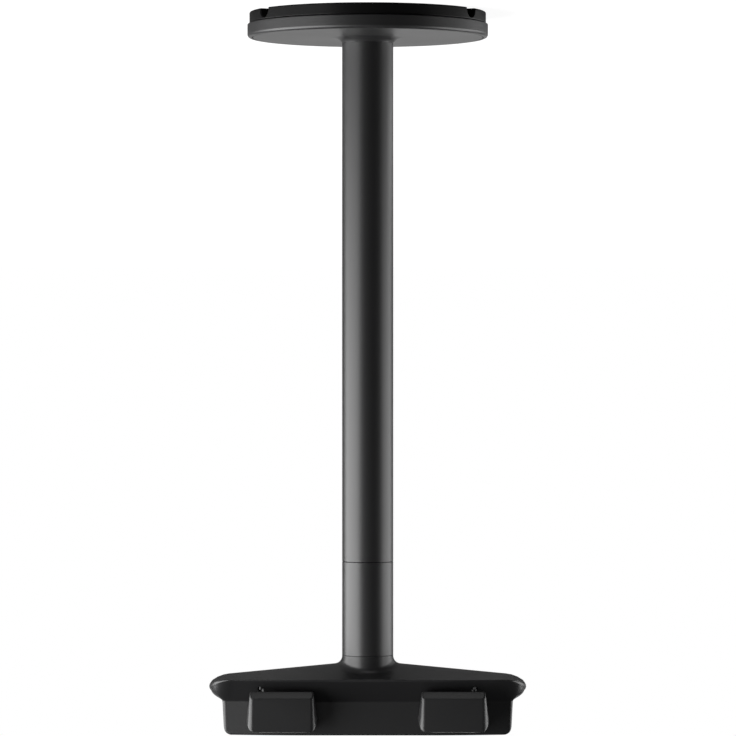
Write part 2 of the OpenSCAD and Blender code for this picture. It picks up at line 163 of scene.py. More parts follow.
@dataclass
class Draft:
    """Corners, edge wear and faces, or the edges of a loop, of a piece while it is drawn."""

    points: np.ndarray
    faces: list[tuple[int, ...]]
    wear: np.ndarray

    @classmethod
    def from_rings(cls, rings: Sequence[np.ndarray], wear: Sequence[float]) -> "Draft":
        """Skins closed rings of equally many points and caps both ends.

        Args:
            rings: The rings in order.
            wear: How much each ring is worn.

        Returns:
            The closed draft.
        """
        around = len(rings[0])
        step = np.arange(around)
        after = np.roll(step, -1)
        faces = [tuple(reversed(range(around)))]
        for row in range(len(rings) - 1):
            low, high = row * around, (row + 1) * around
            quads = np.stack([step + low, after + low, after + high, step + high], 1)
            faces += [tuple(quad) for quad in quads.tolist()]
        faces.append(tuple(range((len(rings) - 1) * around, len(rings) * around)))
        return cls(np.concatenate(rings), faces, np.repeat(np.array(wear, float), around))

    @classmethod
    def from_section(cls, points: np.ndarray, wear: np.ndarray) -> "Draft":
        """A closed section as a loop of edges, laid out for the turning tree."""
        flat = np.stack([points[:, 0] - TURNING_RADIUS, -points[:, 1], np.zeros(len(points))], 1)
        count = len(points)
        return cls(flat, [(i, (i + 1) % count) for i in range(count)], wear)

    def build(self, name: str) -> bpy.types.Object:
        """Makes the object, in metres, with its wear as an attribute of its corners.

        Args:
            name: Name of the object.

        Returns:
            The object, linked to the scene.
        """
        mesh = bpy.data.meshes.new(name)
        edges, faces = (self.faces, []) if len(self.faces[0]) == 2 else ([], self.faces)
        mesh.from_pydata((self.points * MM).tolist(), edges, faces)
        worn = mesh.attributes.new("wear", "FLOAT", "POINT")
        worn.data.foreach_set("value", self.wear.astype(np.float32))
        piece = bpy.data.objects.new(name, mesh)
        bpy.context.scene.collection.objects.link(piece)
        return piece


def tidy(piece: bpy.types.Object, sharp_deg: float = 30.0) -> bpy.types.Object:
    """Merges doubles, points the faces outward and shades the piece smooth up to an angle.

    Args:
        piece: The piece.
        sharp_deg: Angle between faces from which an edge stays sharp.

    Returns:
        The same piece.
    """
    drawn = bmesh.new()
    drawn.from_mesh(piece.data)
    bmesh.ops.remove_doubles(drawn, verts=drawn.verts, dist=MERGE_REACH * MM)
    bmesh.ops.dissolve_degenerate(drawn, edges=drawn.edges, dist=THINNEST * MM)
    bmesh.ops.recalc_face_normals(drawn, faces=drawn.faces)
    drawn.to_mesh(piece.data)
    drawn.free()
    piece.data.shade_smooth()
    piece.data.set_sharp_from_angle(angle=math.radians(sharp_deg))
    return piece


def add_node(
    tree: bpy.types.NodeTree, kind: str, links: Links | None = None, **settings: object
) -> bpy.types.Node:
    """Adds a node to a tree.

    Args:
        tree: The tree that takes it.
        kind: Type of the node.
        links: What each of its inputs takes: a socket or a value, by the input's name or place.
        settings: Settings of the node.

    Returns:
        The node.
    """
    node = tree.nodes.new(kind)
    for key, value in settings.items():
        setattr(node, key, value)
    for key, value in (links or {}).items():
        if isinstance(value, bpy.types.NodeSocket):
            tree.links.new(value, node.inputs[key])
        else:
            node.inputs[key].default_value = value
    return node


# ---------------------------------------------------------------------------------------------
# Geometry Nodes trees
# ---------------------------------------------------------------------------------------------

TURNING_RADIUS = 10.0


class GeometryTree:
    """One Geometry Nodes tree with named inputs, which ends in Realize Instances and Set Material."""

    def __init__(self, name: str) -> None:
        """Starts a tree that takes a geometry and a material.

        Args:
            name: Name of the tree.
        """
        self.tree = bpy.data.node_groups.new(name, "GeometryNodeTree")
        for title, way, kind in (
            ("Geometry", "INPUT", "NodeSocketGeometry"),
            ("Material", "INPUT", "NodeSocketMaterial"),
            ("Geometry", "OUTPUT", "NodeSocketGeometry"),
        ):
            self.tree.interface.new_socket(title, in_out=way, socket_type=kind)
        self.start = self.tree.nodes.new("NodeGroupInput")
        self.stop = self.tree.nodes.new("NodeGroupOutput")

    def given(self, name: str, kind: str = "Float") -> bpy.types.NodeSocket:
        """Adds a named input and returns its socket inside the tree."""
        self.tree.interface.new_socket(name, in_out="INPUT", socket_type="NodeSocket" + kind)
        return self.start.outputs[name]

    def add(self, kind: str, links: Links | None = None, **settings: object) -> bpy.types.Node:
        """Adds a node by its type, which goes without its "GeometryNode" where it has that."""
        full = kind if kind.startswith("ShaderNode") else "GeometryNode" + kind
        return add_node(self.tree, full, links, **settings)

    def maths(self, operation: str, *values: Value) -> bpy.types.NodeSocket:
        """Adds a Math node and returns its result."""
        return self.add("ShaderNodeMath", dict(enumerate(values)), operation=operation).outputs[0]

    def cut_at(
        self, points: bpy.types.NodeSocket, **placing: bpy.types.NodeSocket
    ) -> bpy.types.GeometryNodeTree:
        """Ends the tree with its "Cutter" cut out of the piece at every point.

        Args:
            points: The points.
            placing: Other inputs of the node that sets the cutter on the points.

        Returns:
            The tree.
        """
        cutter = self.add("ObjectInfo", {"Object": self.given("Cutter", "Object")}).outputs["Geometry"]
        copies = self.add("InstanceOnPoints", {"Points": points, "Instance": cutter, **placing})
        real = self.add("RealizeInstances", {"Geometry": copies.outputs[0]})
        cut = self.add(
            "MeshBoolean",
            {"Mesh 1": self.start.outputs["Geometry"], "Mesh 2": real.outputs[0]},
            operation="DIFFERENCE",
            solver="EXACT",
        )
        return self.close(cut.outputs[0])

    def close(self, geometry: bpy.types.NodeSocket) -> bpy.types.GeometryNodeTree:
        """Ends the tree with real geometry in its material.

        Args:
            geometry: The geometry that the tree has made.

        Returns:
            The tree.
        """
        real = self.add("RealizeInstances", {"Geometry": geometry})
        dressed = self.add(
            "SetMaterial", {"Geometry": real.outputs[0], "Material": self.start.outputs["Material"]}
        )
        self.tree.links.new(dressed.outputs[0], self.stop.inputs[0])
        return self.tree


def grow(
    piece: bpy.types.Object,
    tree: bpy.types.GeometryNodeTree,
    material: bpy.types.Material,
    **values: float | bpy.types.Object,
) -> bpy.types.Object:
    """Runs a tree on a piece and keeps the result as its plain mesh.

    Args:
        piece: The piece that the tree starts from.
        tree: The tree.
        material: The material that the tree sets.
        values: The tree's other inputs, with _ for each space in a name.

    Returns:
        The same piece, without the modifier.
    """
    modifier = piece.modifiers.new(tree.name, "NODES")
    modifier.node_group = tree
    wanted = {"Material": material, **{key.replace("_", " "): value for key, value in values.items()}}
    for item in tree.interface.items_tree:
        if item.in_out == "INPUT" and item.name in wanted:
            modifier[item.identifier] = wanted[item.name]
    bpy.context.view_layer.update()
    grown = bpy.data.meshes.new_from_object(piece.evaluated_get(bpy.context.evaluated_depsgraph_get()))
    piece.modifiers.clear()
    drawn, piece.data = piece.data, grown
    grown.name = piece.name
    bpy.data.meshes.remove(drawn)
    return piece


def turning_tree() -> bpy.types.GeometryNodeTree:
    """A tree that turns a closed section round the column's axis."""
    tree = GeometryTree("turned piece")
    circle = tree.add("CurvePrimitiveCircle", mode="RADIUS")
    tree.tree.links.new(tree.given("Circle radius"), circle.inputs["Radius"])
    tree.tree.links.new(tree.given("Steps round", "Int"), circle.inputs["Resolution"])
    section = tree.add("MeshToCurve", {0: tree.start.outputs["Geometry"]})
    skin = tree.add("CurveToMesh", {"Curve": circle.outputs[0], "Profile Curve": section.outputs[0]})
    return tree.close(skin.outputs[0])


def add_pair_points(tree: GeometryTree) -> bpy.types.NodeSocket:
    """Adds points on both sides of the head, one or two to a side.

    The even points stand on one side and the odd ones on the other, a "Hook pitch" apart. Each
    side's points are a "Screw pitch" apart.

    Args:
        tree: The tree that takes them.

    Returns:
        The points' socket.
    """
    hook_pitch = tree.given("Hook pitch")
    screw_pitch = tree.given("Screw pitch")
    index = tree.add("InputIndex").outputs[0]
    side = tree.maths("SUBTRACT", tree.maths("MODULO", index, 2.0), 0.5)
    row = tree.maths("SUBTRACT", tree.maths("FLOOR", tree.maths("DIVIDE", index, 2.0)), 0.5)
    across = tree.maths("MULTIPLY_ADD", side, hook_pitch, tree.maths("MULTIPLY", row, screw_pitch))
    place = tree.add("ShaderNodeCombineXYZ", {0: across}).outputs[0]
    return tree.add("Points", {"Count": tree.given("Count", "Int"), "Position": place}).outputs[0]


def pairs_tree() -> bpy.types.GeometryNodeTree:
    """A tree that repeats one fastener on both sides of the head."""
    tree = GeometryTree("fasteners in pairs")
    points = add_pair_points(tree)
    fastener = tree.start.outputs["Geometry"]
    copies = tree.add("InstanceOnPoints", {"Points": points, "Instance": fastener})
    return tree.close(copies.outputs[0])


def pair_bores_tree() -> bpy.types.GeometryNodeTree:
    """A tree that cuts one cutter's shape out of a piece on both sides of the head."""
    tree = GeometryTree("bores in pairs")
    return tree.cut_at(add_pair_points(tree))


def notches_tree() -> bpy.types.GeometryNodeTree:
    """A tree that cuts evenly spaced notches through a ring."""
    tree = GeometryTree("notched ring")
    points = tree.add("Points", {"Count": tree.given("Notches", "Int")}).outputs[0]
    share = tree.maths("DIVIDE", tree.add("InputIndex").outputs[0], tree.start.outputs["Notches"])
    turn = tree.maths("MULTIPLY_ADD", share, math.tau, tree.given("First angle"))
    return tree.cut_at(points, Rotation=tree.add("ShaderNodeCombineXYZ", {2: turn}).outputs[0])


class Trees:
    """The Geometry Nodes trees that the sub-assemblies share, each built once."""

    def __init__(self) -> None:
        """Builds the trees."""
        self.turning = turning_tree()
        self.pairs = pairs_tree()
        self.pair_bores = pair_bores_tree()
        self.notches = notches_tree()

    def turn(
        self, name: str, section: Sequence[Corner], material: bpy.types.Material, steps: int = 160
    ) -> bpy.types.Object:
        """Turns a closed section round the column's axis.

        Args:
            name: Name of the piece.
            section: The section's corners.
            material: The piece's material.
            steps: Number of steps round the axis.

        Returns:
            The piece.
        """
        points, wear = soften(section)
        piece = Draft.from_section(points, wear).build(name)
        grow(piece, self.turning, material, Circle_radius=TURNING_RADIUS * MM, Steps_round=steps)
        return tidy(piece)


# ---------------------------------------------------------------------------------------------
# Shader groups and finishes
# ---------------------------------------------------------------------------------------------

GRAIN_HEIGHT = 0.05
COARSE_SCALE = 0.31
COARSE_SHARE = 0.6
WORN_SMOOTHER = 0.15
PATCHES_PER_METRE = 160.0
PATCH_REACH = (0.38, 0.68)
MARK_DEPTH = 0.3
PORE_REACH = (0.12, 0.42)
PORE_DEPTH = 0.35


def add_shader_node(
    tree: bpy.types.NodeTree, kind: str, links: Links | None = None, **settings: object
) -> bpy.types.Node:
    """Adds a shader node to a tree by its type without "ShaderNode"."""
    return add_node(tree, "ShaderNode" + kind, links, **settings)


def add_shader_maths(
    tree: bpy.types.NodeTree, operation: str, *values: Value
) -> bpy.types.NodeSocket:
    """Adds a Math node to a shader tree and returns its result."""
    return add_shader_node(tree, "Math", dict(enumerate(values)), operation=operation).outputs[0]


def add_ramp(
    tree: bpy.types.NodeTree,
    value: bpy.types.NodeSocket,
    reach: tuple[float, float],
    result: tuple[float, float] = (0.0, 1.0),
) -> bpy.types.NodeSocket:
    """Adds a node whose value goes from one result to the other over a reach of its input.

    Args:
        tree: The tree that takes it.
        value: The input.
        reach: Where the change starts and stops.
        result: The values before and after it.

    Returns:
        The socket of the result.
    """
    ends = {"From Min": reach[0], "From Max": reach[1], "To Min": result[0], "To Max": result[1]}
    return add_shader_node(tree, "MapRange", {"Value": value, **ends}).outputs[0]


class ShaderGroup:
    """One shader node group with named inputs and outputs."""

    def __init__(self, name: str, inputs: dict[str, float | None], outputs: Sequence[str]) -> None:
        """Starts a group.

        Args:
            name: Name of the group.
            inputs: Default of each number input, or None for a vector input.
            outputs: Names of the number outputs.
        """
        self.tree = bpy.data.node_groups.new(name, "ShaderNodeTree")
        for title, default in inputs.items():
            kind = "NodeSocketVector" if default is None else "NodeSocketFloat"
            socket = self.tree.interface.new_socket(title, in_out="INPUT", socket_type=kind)
            if default is not None:
                socket.default_value = default
        for title in outputs:
            self.tree.interface.new_socket(title, in_out="OUTPUT", socket_type="NodeSocketFloat")
        self.start = self.tree.nodes.new("NodeGroupInput").outputs
        self.stop = self.tree.nodes.new("NodeGroupOutput").inputs

    def add(self, kind: str, links: Links | None = None, **settings: object) -> bpy.types.Node:
        """Adds a node of a kind, with its settings and with what its inputs take."""
        return add_shader_node(self.tree, kind, links, **settings)

    def noise(self, scale: Value, detail: float = 2.0) -> bpy.types.NodeSocket:
        """Adds a Noise Texture at a scale and returns its value."""
        place = {"Vector": self.start["Vector"], "Scale": scale}
        return self.add("TexNoise", {**place, "Detail": detail}).outputs["Fac"]

    def maths(self, operation: str, *values: Value) -> bpy.types.NodeSocket:
        """Adds a Math node and returns its result."""
        return add_shader_maths(self.tree, operation, *values)

    def give(self, output: str, value: bpy.types.NodeSocket) -> None:
        """Feeds one of the group's outputs."""
        self.tree.links.new(value, self.stop[output])


def grain_group() -> bpy.types.NodeTree:
    """Fine grain: a height for a Bump node, from two sizes of noise."""
    group = ShaderGroup("fine grain", {"Vector": None, "Grains per metre": 2500.0}, ["Height"])
    fine = group.noise(group.start["Grains per metre"])
    coarse = group.noise(group.maths("MULTIPLY", group.start["Grains per metre"], COARSE_SCALE))
    fine = group.maths("MULTIPLY", fine, 1 - COARSE_SHARE)
    group.give("Height", group.maths("MULTIPLY_ADD", coarse, COARSE_SHARE, fine))
    return group.tree


def cloud_group() -> bpy.types.NodeTree:
    """Soft clouds a few centimetres wide: a value round 1 that varies by an amount."""
    group = ShaderGroup("clouds", {"Vector": None, "Clouds per metre": 30.0, "Amount": 0.1}, ["Value"])
    cloud = group.noise(group.start["Clouds per metre"], detail=4.0)
    swing = group.maths("MULTIPLY_ADD", cloud, 2.0, -1.0)
    group.give("Value", group.maths("MULTIPLY_ADD", swing, group.start["Amount"], 1.0))
    return group.tree


def wear_group() -> bpy.types.NodeTree:
    """Handling marks on rounded edges: a mask from the edge attribute, broken up by noise."""
    group = ShaderGroup("edge wear", {"Vector": None, "Wear": 0.0, "Amount": 0.3}, ["Mask"])
    patches = add_ramp(group.tree, group.noise(PATCHES_PER_METRE, detail=5.0), PATCH_REACH)
    worn = group.maths("MULTIPLY", group.start["Wear"], patches)
    group.give("Mask", group.maths("MULTIPLY", worn, group.start["Amount"]))
    return group.tree


def lathe_group() -> bpy.types.NodeTree:
    """Turning marks round the column's axis: a height and a mask."""
    group = ShaderGroup("turning marks", {"Vector": None, "Marks per metre": 3000.0}, ["Height", "Mask"])
    axes = group.add("SeparateXYZ", {0: group.start["Vector"]}).outputs
    flat = group.add("CombineXYZ", {0: axes[0], 1: axes[1]}).outputs[0]
    radius = group.add("VectorMath", {0: flat}, operation="LENGTH").outputs["Value"]
    line = group.maths("MULTIPLY", group.maths("ADD", radius, axes[2]), group.start["Marks per metre"])
    marks = group.add("TexNoise", {"W": line, "Scale": 1.0, "Detail": 1.0}, noise_dimensions="1D")
    group.give("Height", marks.outputs["Fac"])
    mask = group.maths("MULTIPLY_ADD", marks.outputs["Fac"], MARK_DEPTH, 1 - MARK_DEPTH / 2)
    group.give("Mask", mask)
    return group.tree


def pores_group() -> bpy.types.NodeTree:
    """Open pores of cast iron or foam: a height and a mask that are low in a pore."""
    group = ShaderGroup("pores", {"Vector": None, "Pores per metre": 900.0}, ["Height", "Mask"])
    cells = group.add(
        "TexVoronoi", {"Vector": group.start["Vector"], "Scale": group.start["Pores per metre"]}
    ).outputs["Distance"]
    skin = add_ramp(group.tree, cells, PORE_REACH)
    group.give("Height", skin)
    group.give("Mask", group.maths("MULTIPLY_ADD", skin, PORE_DEPTH, 1 - PORE_DEPTH))
    return group.tree


class Texture(Enum):
    """What the surface of a finish is made of."""

    GRAIN = "fine grain"
    TURNED = "turning marks"
    PORES = "pores"


@dataclass(frozen=True)
class Finish:
    """A finish: its plain values and the texture that varies them."""

    name: str
    slot: str
    colour: tuple[float, float, float]
    roughness: float
    texture: Texture = Texture.GRAIN
    texture_scale: float = 2500.0
    bump: float = 0.1
    metallic: float = 0.0
    specular: float = 0.5
    cloud_scale: float = 30.0
    cloud: float = 0.06
    worn_colour: tuple[float, float, float] = (0.12, 0.12, 0.125)
    wear: float = 0.25

    def material(self) -> bpy.types.Material:
        """Builds the finish as a material.

        Returns:
            A procedural material on Object coordinates and on the pieces' wear attribute.
        """
        material = bpy.data.materials.new(self.name)
        material.use_nodes = True
        tree = material.node_tree
        shader = tree.nodes["Principled BSDF"]
        shader.inputs["Metallic"].default_value = self.metallic
        shader.inputs["Specular IOR Level"].default_value = self.specular
        place = add_shader_node(tree, "TexCoord").outputs["Object"]
        surface = self._group(tree, self.texture.value, {"Vector": place, 1: self.texture_scale})
        clouds = self._group(
            tree, "clouds", {"Vector": place, "Clouds per metre": self.cloud_scale, "Amount": self.cloud}
        )
        worn = add_shader_node(tree, "Attribute", attribute_name="wear").outputs["Fac"]
        wear = self._group(tree, "edge wear", {"Vector": place, "Wear": worn, "Amount": self.wear})
        shade = clouds.outputs["Value"]
        if "Mask" in surface.outputs:
            shade = add_shader_maths(tree, "MULTIPLY", shade, surface.outputs["Mask"])
        tone = add_shader_node(
            tree, "VectorMath", {0: self.colour, "Scale": shade}, operation="SCALE"
        ).outputs[0]
        colour = add_shader_node(
            tree, "Mix", {0: wear.outputs["Mask"], 6: tone, 7: (*self.worn_colour, 1.0)}, data_type="RGBA"
        )
        dull = add_shader_maths(tree, "MULTIPLY", self.roughness, clouds.outputs["Value"])
        smoothed = add_shader_maths(tree, "MULTIPLY_ADD", wear.outputs["Mask"], -WORN_SMOOTHER, dull)
        height = {"Distance": GRAIN_HEIGHT * MM, "Height": surface.outputs["Height"]}
        bump = add_shader_node(tree, "Bump", {"Strength": self.bump, **height})
        tree.links.new(colour.outputs[2], shader.inputs["Base Color"])
        tree.links.new(smoothed, shader.inputs["Roughness"])
        tree.links.new(bump.outputs[0], shader.inputs["Normal"])
        return material

    @staticmethod
    def _group(tree: bpy.types.NodeTree, name: str, links: Links) -> bpy.types.Node:
        """Places a shared shader group in a material."""
        return add_shader_node(tree, "Group", links, node_tree=bpy.data.node_groups[name])


FINISHES = (
    Finish(
        "foot rubber", "foot_rubber", (0.004, 0.004, 0.0042), roughness=0.36,
        texture_scale=1400.0, bump=0.12, specular=0.18, cloud=0.12, wear=0.1,
    ),
    Finish(
        "bottom foam", "sheet_foam", (0.02, 0.02, 0.021), roughness=0.9,
        texture=Texture.PORES, texture_scale=1100.0, bump=0.6, specular=0.2, cloud=0.1, wear=0.0,
    ),
    Finish(
        "cast ballast", "ballast_iron", (0.09, 0.09, 0.092), roughness=0.55,
        texture=Texture.PORES, texture_scale=420.0, bump=0.5, metallic=1.0, cloud=0.15, wear=0.0,
    ),
    Finish(
        "satin powder coat", "satin_paint", (0.012, 0.012, 0.0125), roughness=0.43,
        texture_scale=1500.0, bump=0.10, specular=0.63, wear=0.10,
    ),
    Finish(
        "satin column coat", "satin_column", (0.012, 0.012, 0.0125), roughness=0.40,
        texture_scale=1500.0, bump=0.06, specular=0.6, wear=0.10,
    ),
    Finish(
        "head moulding", "head_plastic", (0.012, 0.012, 0.0125), roughness=0.39,
        texture_scale=2200.0, bump=0.12, worn_colour=(0.05, 0.05, 0.052), wear=0.15,
    ),
    Finish(
        "pad silicone", "pad_rubber", (0.015, 0.015, 0.016), roughness=0.68,
        texture_scale=1800.0, bump=0.3, specular=0.35, cloud=0.1, wear=0.05,
    ),
    Finish(
        "zinc steel", "steel", (0.55, 0.55, 0.56), roughness=0.3,
        texture=Texture.TURNED, texture_scale=3500.0, bump=0.15, metallic=1.0, wear=0.0,
    ),
    Finish(
        "black oxide steel", "black_steel", (0.02, 0.02, 0.021), roughness=0.45,
        texture_scale=2600.0, worn_colour=(0.12, 0.12, 0.12), wear=0.3,
    ),
    Finish(
        "turned brass", "bearing_brass", (0.62, 0.48, 0.22), roughness=0.28,
        texture=Texture.TURNED, texture_scale=3500.0, bump=0.15, metallic=1.0, wear=0.0,
    ),
    Finish(
        "black acetal", "black_acetal", (0.02, 0.02, 0.021), roughness=0.35,
        texture=Texture.TURNED, wear=0.0,
    ),
)


class Wardrobe:
    """The materials of all finishes, by material slot."""

    def __init__(self) -> None:
        """Builds the shared shader groups and one material for each finish."""
        for make in (grain_group, cloud_group, wear_group, lathe_group, pores_group):
            make()
        self.materials = {finish.slot: finish.material() for finish in FINISHES}

    def __getitem__(self, slot: str) -> bpy.types.Material:
        """The material of a slot."""
        return self.materials[slot]

    def dress(self, piece: bpy.types.Object, slot: str) -> None:
        """Gives a piece the material of a slot as its only one."""
        piece.data.materials.clear()
        piece.data.materials.append(self.materials[slot])

    def dress_frame(self, nodes: Sequence[str]) -> None:
        """Gives frame nodes the material of the slot that the record names for them.

        Args:
            nodes: Names of the nodes that stay visible.
        """
        slots = {part["node"]: part["material_slot"] for part in frame["record"]["subparts"]}
        for node in nodes:
            self.dress(frame["nodes"][node], slots[node])
            LOG.info("%s keeps its frame mesh, in %s", node, slots[node])


def settle(piece: bpy.types.Object, body: str, slot: str, *nodes: str) -> None:
    """Rides a finished piece on its body in place of its frame nodes.

    Args:
        piece: The piece.
        body: Name of the body that it moves with.
        slot: Material slot of its finish; not used here.
        nodes: Frame nodes that it stands for.
    """
    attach(piece, body)
    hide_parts(*nodes)
    LOG.info("%s: %d faces, rides on %s", piece.name, len(piece.data.polygons), body)


# ---------------------------------------------------------------------------------------------
# Base
# ---------------------------------------------------------------------------------------------


@dataclass
class BaseAssembly:
    """The disc foot: its cover, the ring that it stands on and the ballast between them."""

    steps_round: int = 192
    cover_wall: float = 1.4
    cover_edge_r: float = 1.2
    small_edge_r: float = 0.3
    groove_inset: float = 1.9
    groove_w: float = 0.4
    groove_floor_w: float = 0.12
    groove_edge_r: float = 0.06
    boss_h: float = 2.15
    boss_reach: float = 5.6
    boss_curve: float = 3.4
    boss_steps: int = 16
    bolt_hole_r: float = 3.3
    hub_r: float = 8.05
    hub_h: float = 3.1
    spigot_r: float = 8.45
    spigot_h: float = 2.0
    ring_w: float = 9.0
    ring_edge_r: float = 0.4
    notch_count: int = 3
    notch_w: float = 6.2
    notch_h: float = 3.6
    notch_steps: int = 24
    notch_flare: float = 0.5
    flare_turn: tuple[float, float] = (0.2, 1.2)
    flare_rows: int = 5
    notch_below: float = 1.0
    notch_past: float = 2.0
    body: str = "stand"
    inner_nodes: tuple[str, ...] = (
        "base_sheet", "ballast_plate", "base_screws", "column_bolt", "column_lock_washer",
        "column_washer",
    )

    def cover_section(self) -> list[Corner]:
        """The cover's closed section: skin, rim, groove, boss and the spigot inside the column."""
        low, high = node_box("base_cover")
        radius, rim_low = high[0], low[2]
        column_low, column_high = node_box("column_tube")
        column_r = column_high[0]
        top = column_low[2] - self.boss_h
        skin = top - self.cover_wall
        groove = radius - self.groove_inset
        groove_half, floor_half = self.groove_w / 2, self.groove_floor_w / 2
        boss = [
            Corner(column_r + self.boss_reach * (1 - share), top + self.boss_h * share**self.boss_curve)
            for share in np.linspace(0, 1, self.boss_steps + 1)
        ]
        return [
            Corner(self.hub_r, skin),
            Corner(radius - self.cover_wall, skin),
            Corner(radius - self.cover_wall, rim_low),
            Corner(radius, rim_low, self.small_edge_r),
            Corner(radius, top, self.cover_edge_r),
            Corner(groove + groove_half, top, self.groove_edge_r),
            Corner(groove + floor_half, top - self.groove_w),
            Corner(groove - floor_half, top - self.groove_w),
            Corner(groove - groove_half, top, self.groove_edge_r),
            *boss,
            Corner(self.spigot_r, column_low[2]),
            Corner(self.spigot_r, column_low[2] + self.spigot_h, self.small_edge_r),
            Corner(self.bolt_hole_r, column_low[2] + self.spigot_h),
            Corner(self.bolt_hole_r, skin + self.hub_h),
            Corner(self.hub_r, skin + self.hub_h),
        ]

    def ring_section(self) -> list[Corner]:
        """The foot ring's closed section, with its outer edges rounded."""
        low, high = node_box("foot_ring")
        outer, inner = high[0], high[0] - self.ring_w
        return [
            Corner(inner, low[2], self.small_edge_r),
            Corner(outer, low[2], self.ring_edge_r),
            Corner(outer, high[2], self.small_edge_r),
            Corner(inner, high[2]),
        ]

    def notch_cutter(self) -> bpy.types.Object:
        """The notches' cutter: an arch that runs outward along +X and flares at its mouth."""
        _, high = node_box("foot_ring")
        outer, flare, below = high[0], self.notch_flare, self.notch_below
        angles = np.linspace(0, math.pi, self.notch_steps + 1)
        half, side = self.notch_w / 2, self.notch_h - self.notch_w / 2
        arch = np.stack([half * np.cos(angles), side + half * np.sin(angles)], 1)
        arch = np.concatenate([[[half, -below]], arch, [[-half, -below]]])
        stations = [(outer - 2 * self.ring_w, 0.0), (outer - flare, 0.0)]
        for turn in np.linspace(*self.flare_turn, self.flare_rows):
            stations.append((outer - flare * math.cos(turn), flare * (1 - math.cos(turn))))
        stations.append((outer + self.notch_past, flare))
        rings = []
        for x, wider in stations:
            scale = np.array([1 + wider / half, 1 + wider / self.notch_h])
            rings.append(np.column_stack([np.full(len(arch), x), arch * scale]))
        return tidy(Draft.from_rings(rings, [0.0] * len(rings)).build("notch_cutter"))

    def build(self, trees: Trees, wardrobe: Wardrobe) -> None:
        """Makes the cover and the notched ring, and dresses the pieces inside them.

        Args:
            trees: The shared Geometry Nodes trees.
            wardrobe: The materials.
        """
        paint, rubber = wardrobe["satin_paint"], wardrobe["foot_rubber"]
        cover = trees.turn("disc_cover", self.cover_section(), paint, self.steps_round)
        settle(cover, self.body, "satin_paint", "base_cover")
        ring = trees.turn("foot_ring_rubber", self.ring_section(), rubber, self.steps_round)
        cutter = self.notch_cutter()
        grow(
            ring, trees.notches, rubber, Cutter=cutter, Notches=self.notch_count, First_angle=math.pi / 2
        )
        bpy.data.objects.remove(cutter)
        settle(tidy(ring), self.body, "foot_rubber", "foot_ring")
        wardrobe.dress_frame(self.inner_nodes)


# ---------------------------------------------------------------------------------------------
# Column and swivel
# ---------------------------------------------------------------------------------------------


@dataclass
class ColumnAssembly:
    """The column tube, the neck sleeve that turns on it and the swivel inside them."""

    tube_wall: float = 1.5
    seam_edge_r: float = 0.08
    still_edge_r: float = 0.05
    spindle_r: float = 6.05
    shoulder_r: float = 8.45
    shoulder_h: float = 3.0
    inner_nodes: tuple[str, ...] = (
        "lower_plug", "bearing_bush", "thrust_washer", "wave_washer", "spindle_washer", "spindle_nut",
        "swivel_spindle", "neck_dowels",
    )

    def tube_section(self) -> list[Corner]:
        """The column tube's closed section."""
        low, high = node_box("column_tube")
        outer, inner = high[0], high[0] - self.tube_wall
        return [
            Corner(inner, low[2]),
            Corner(outer, low[2], self.still_edge_r),
            Corner(outer, high[2], self.seam_edge_r),
            Corner(inner, high[2], self.still_edge_r),
        ]

    def neck_section(self) -> list[Corner]:
        """The neck sleeve's closed section, with a pocket for the spindle's shoulder."""
        low, high = node_box("neck_sleeve")
        outer = high[0]
        return [
            Corner(self.shoulder_r, low[2], self.still_edge_r),
            Corner(outer, low[2], self.seam_edge_r),
            Corner(outer, high[2], self.still_edge_r),
            Corner(self.spindle_r, high[2]),
            Corner(self.spindle_r, low[2] + self.shoulder_h),
            Corner(self.shoulder_r, low[2] + self.shoulder_h),
        ]

    def build(self, trees: Trees, wardrobe: Wardrobe) -> None:
        """Makes the tube and the sleeve, and dresses the swivel's pieces.

        Args:
            trees: The shared Geometry Nodes trees.
            wardrobe: The materials.
        """
        slot = "satin_column"
        tube = trees.turn("column_shell", self.tube_section(), wardrobe[slot])
        settle(tube, "stand", slot, "column_tube")
        neck = trees.turn("neck_shell", self.neck_section(), wardrobe[slot])
        settle(neck, "head", slot, "neck_sleeve")
        wardrobe.dress_frame(self.inner_nodes)


# ---------------------------------------------------------------------------------------------
# Head
# ---------------------------------------------------------------------------------------------


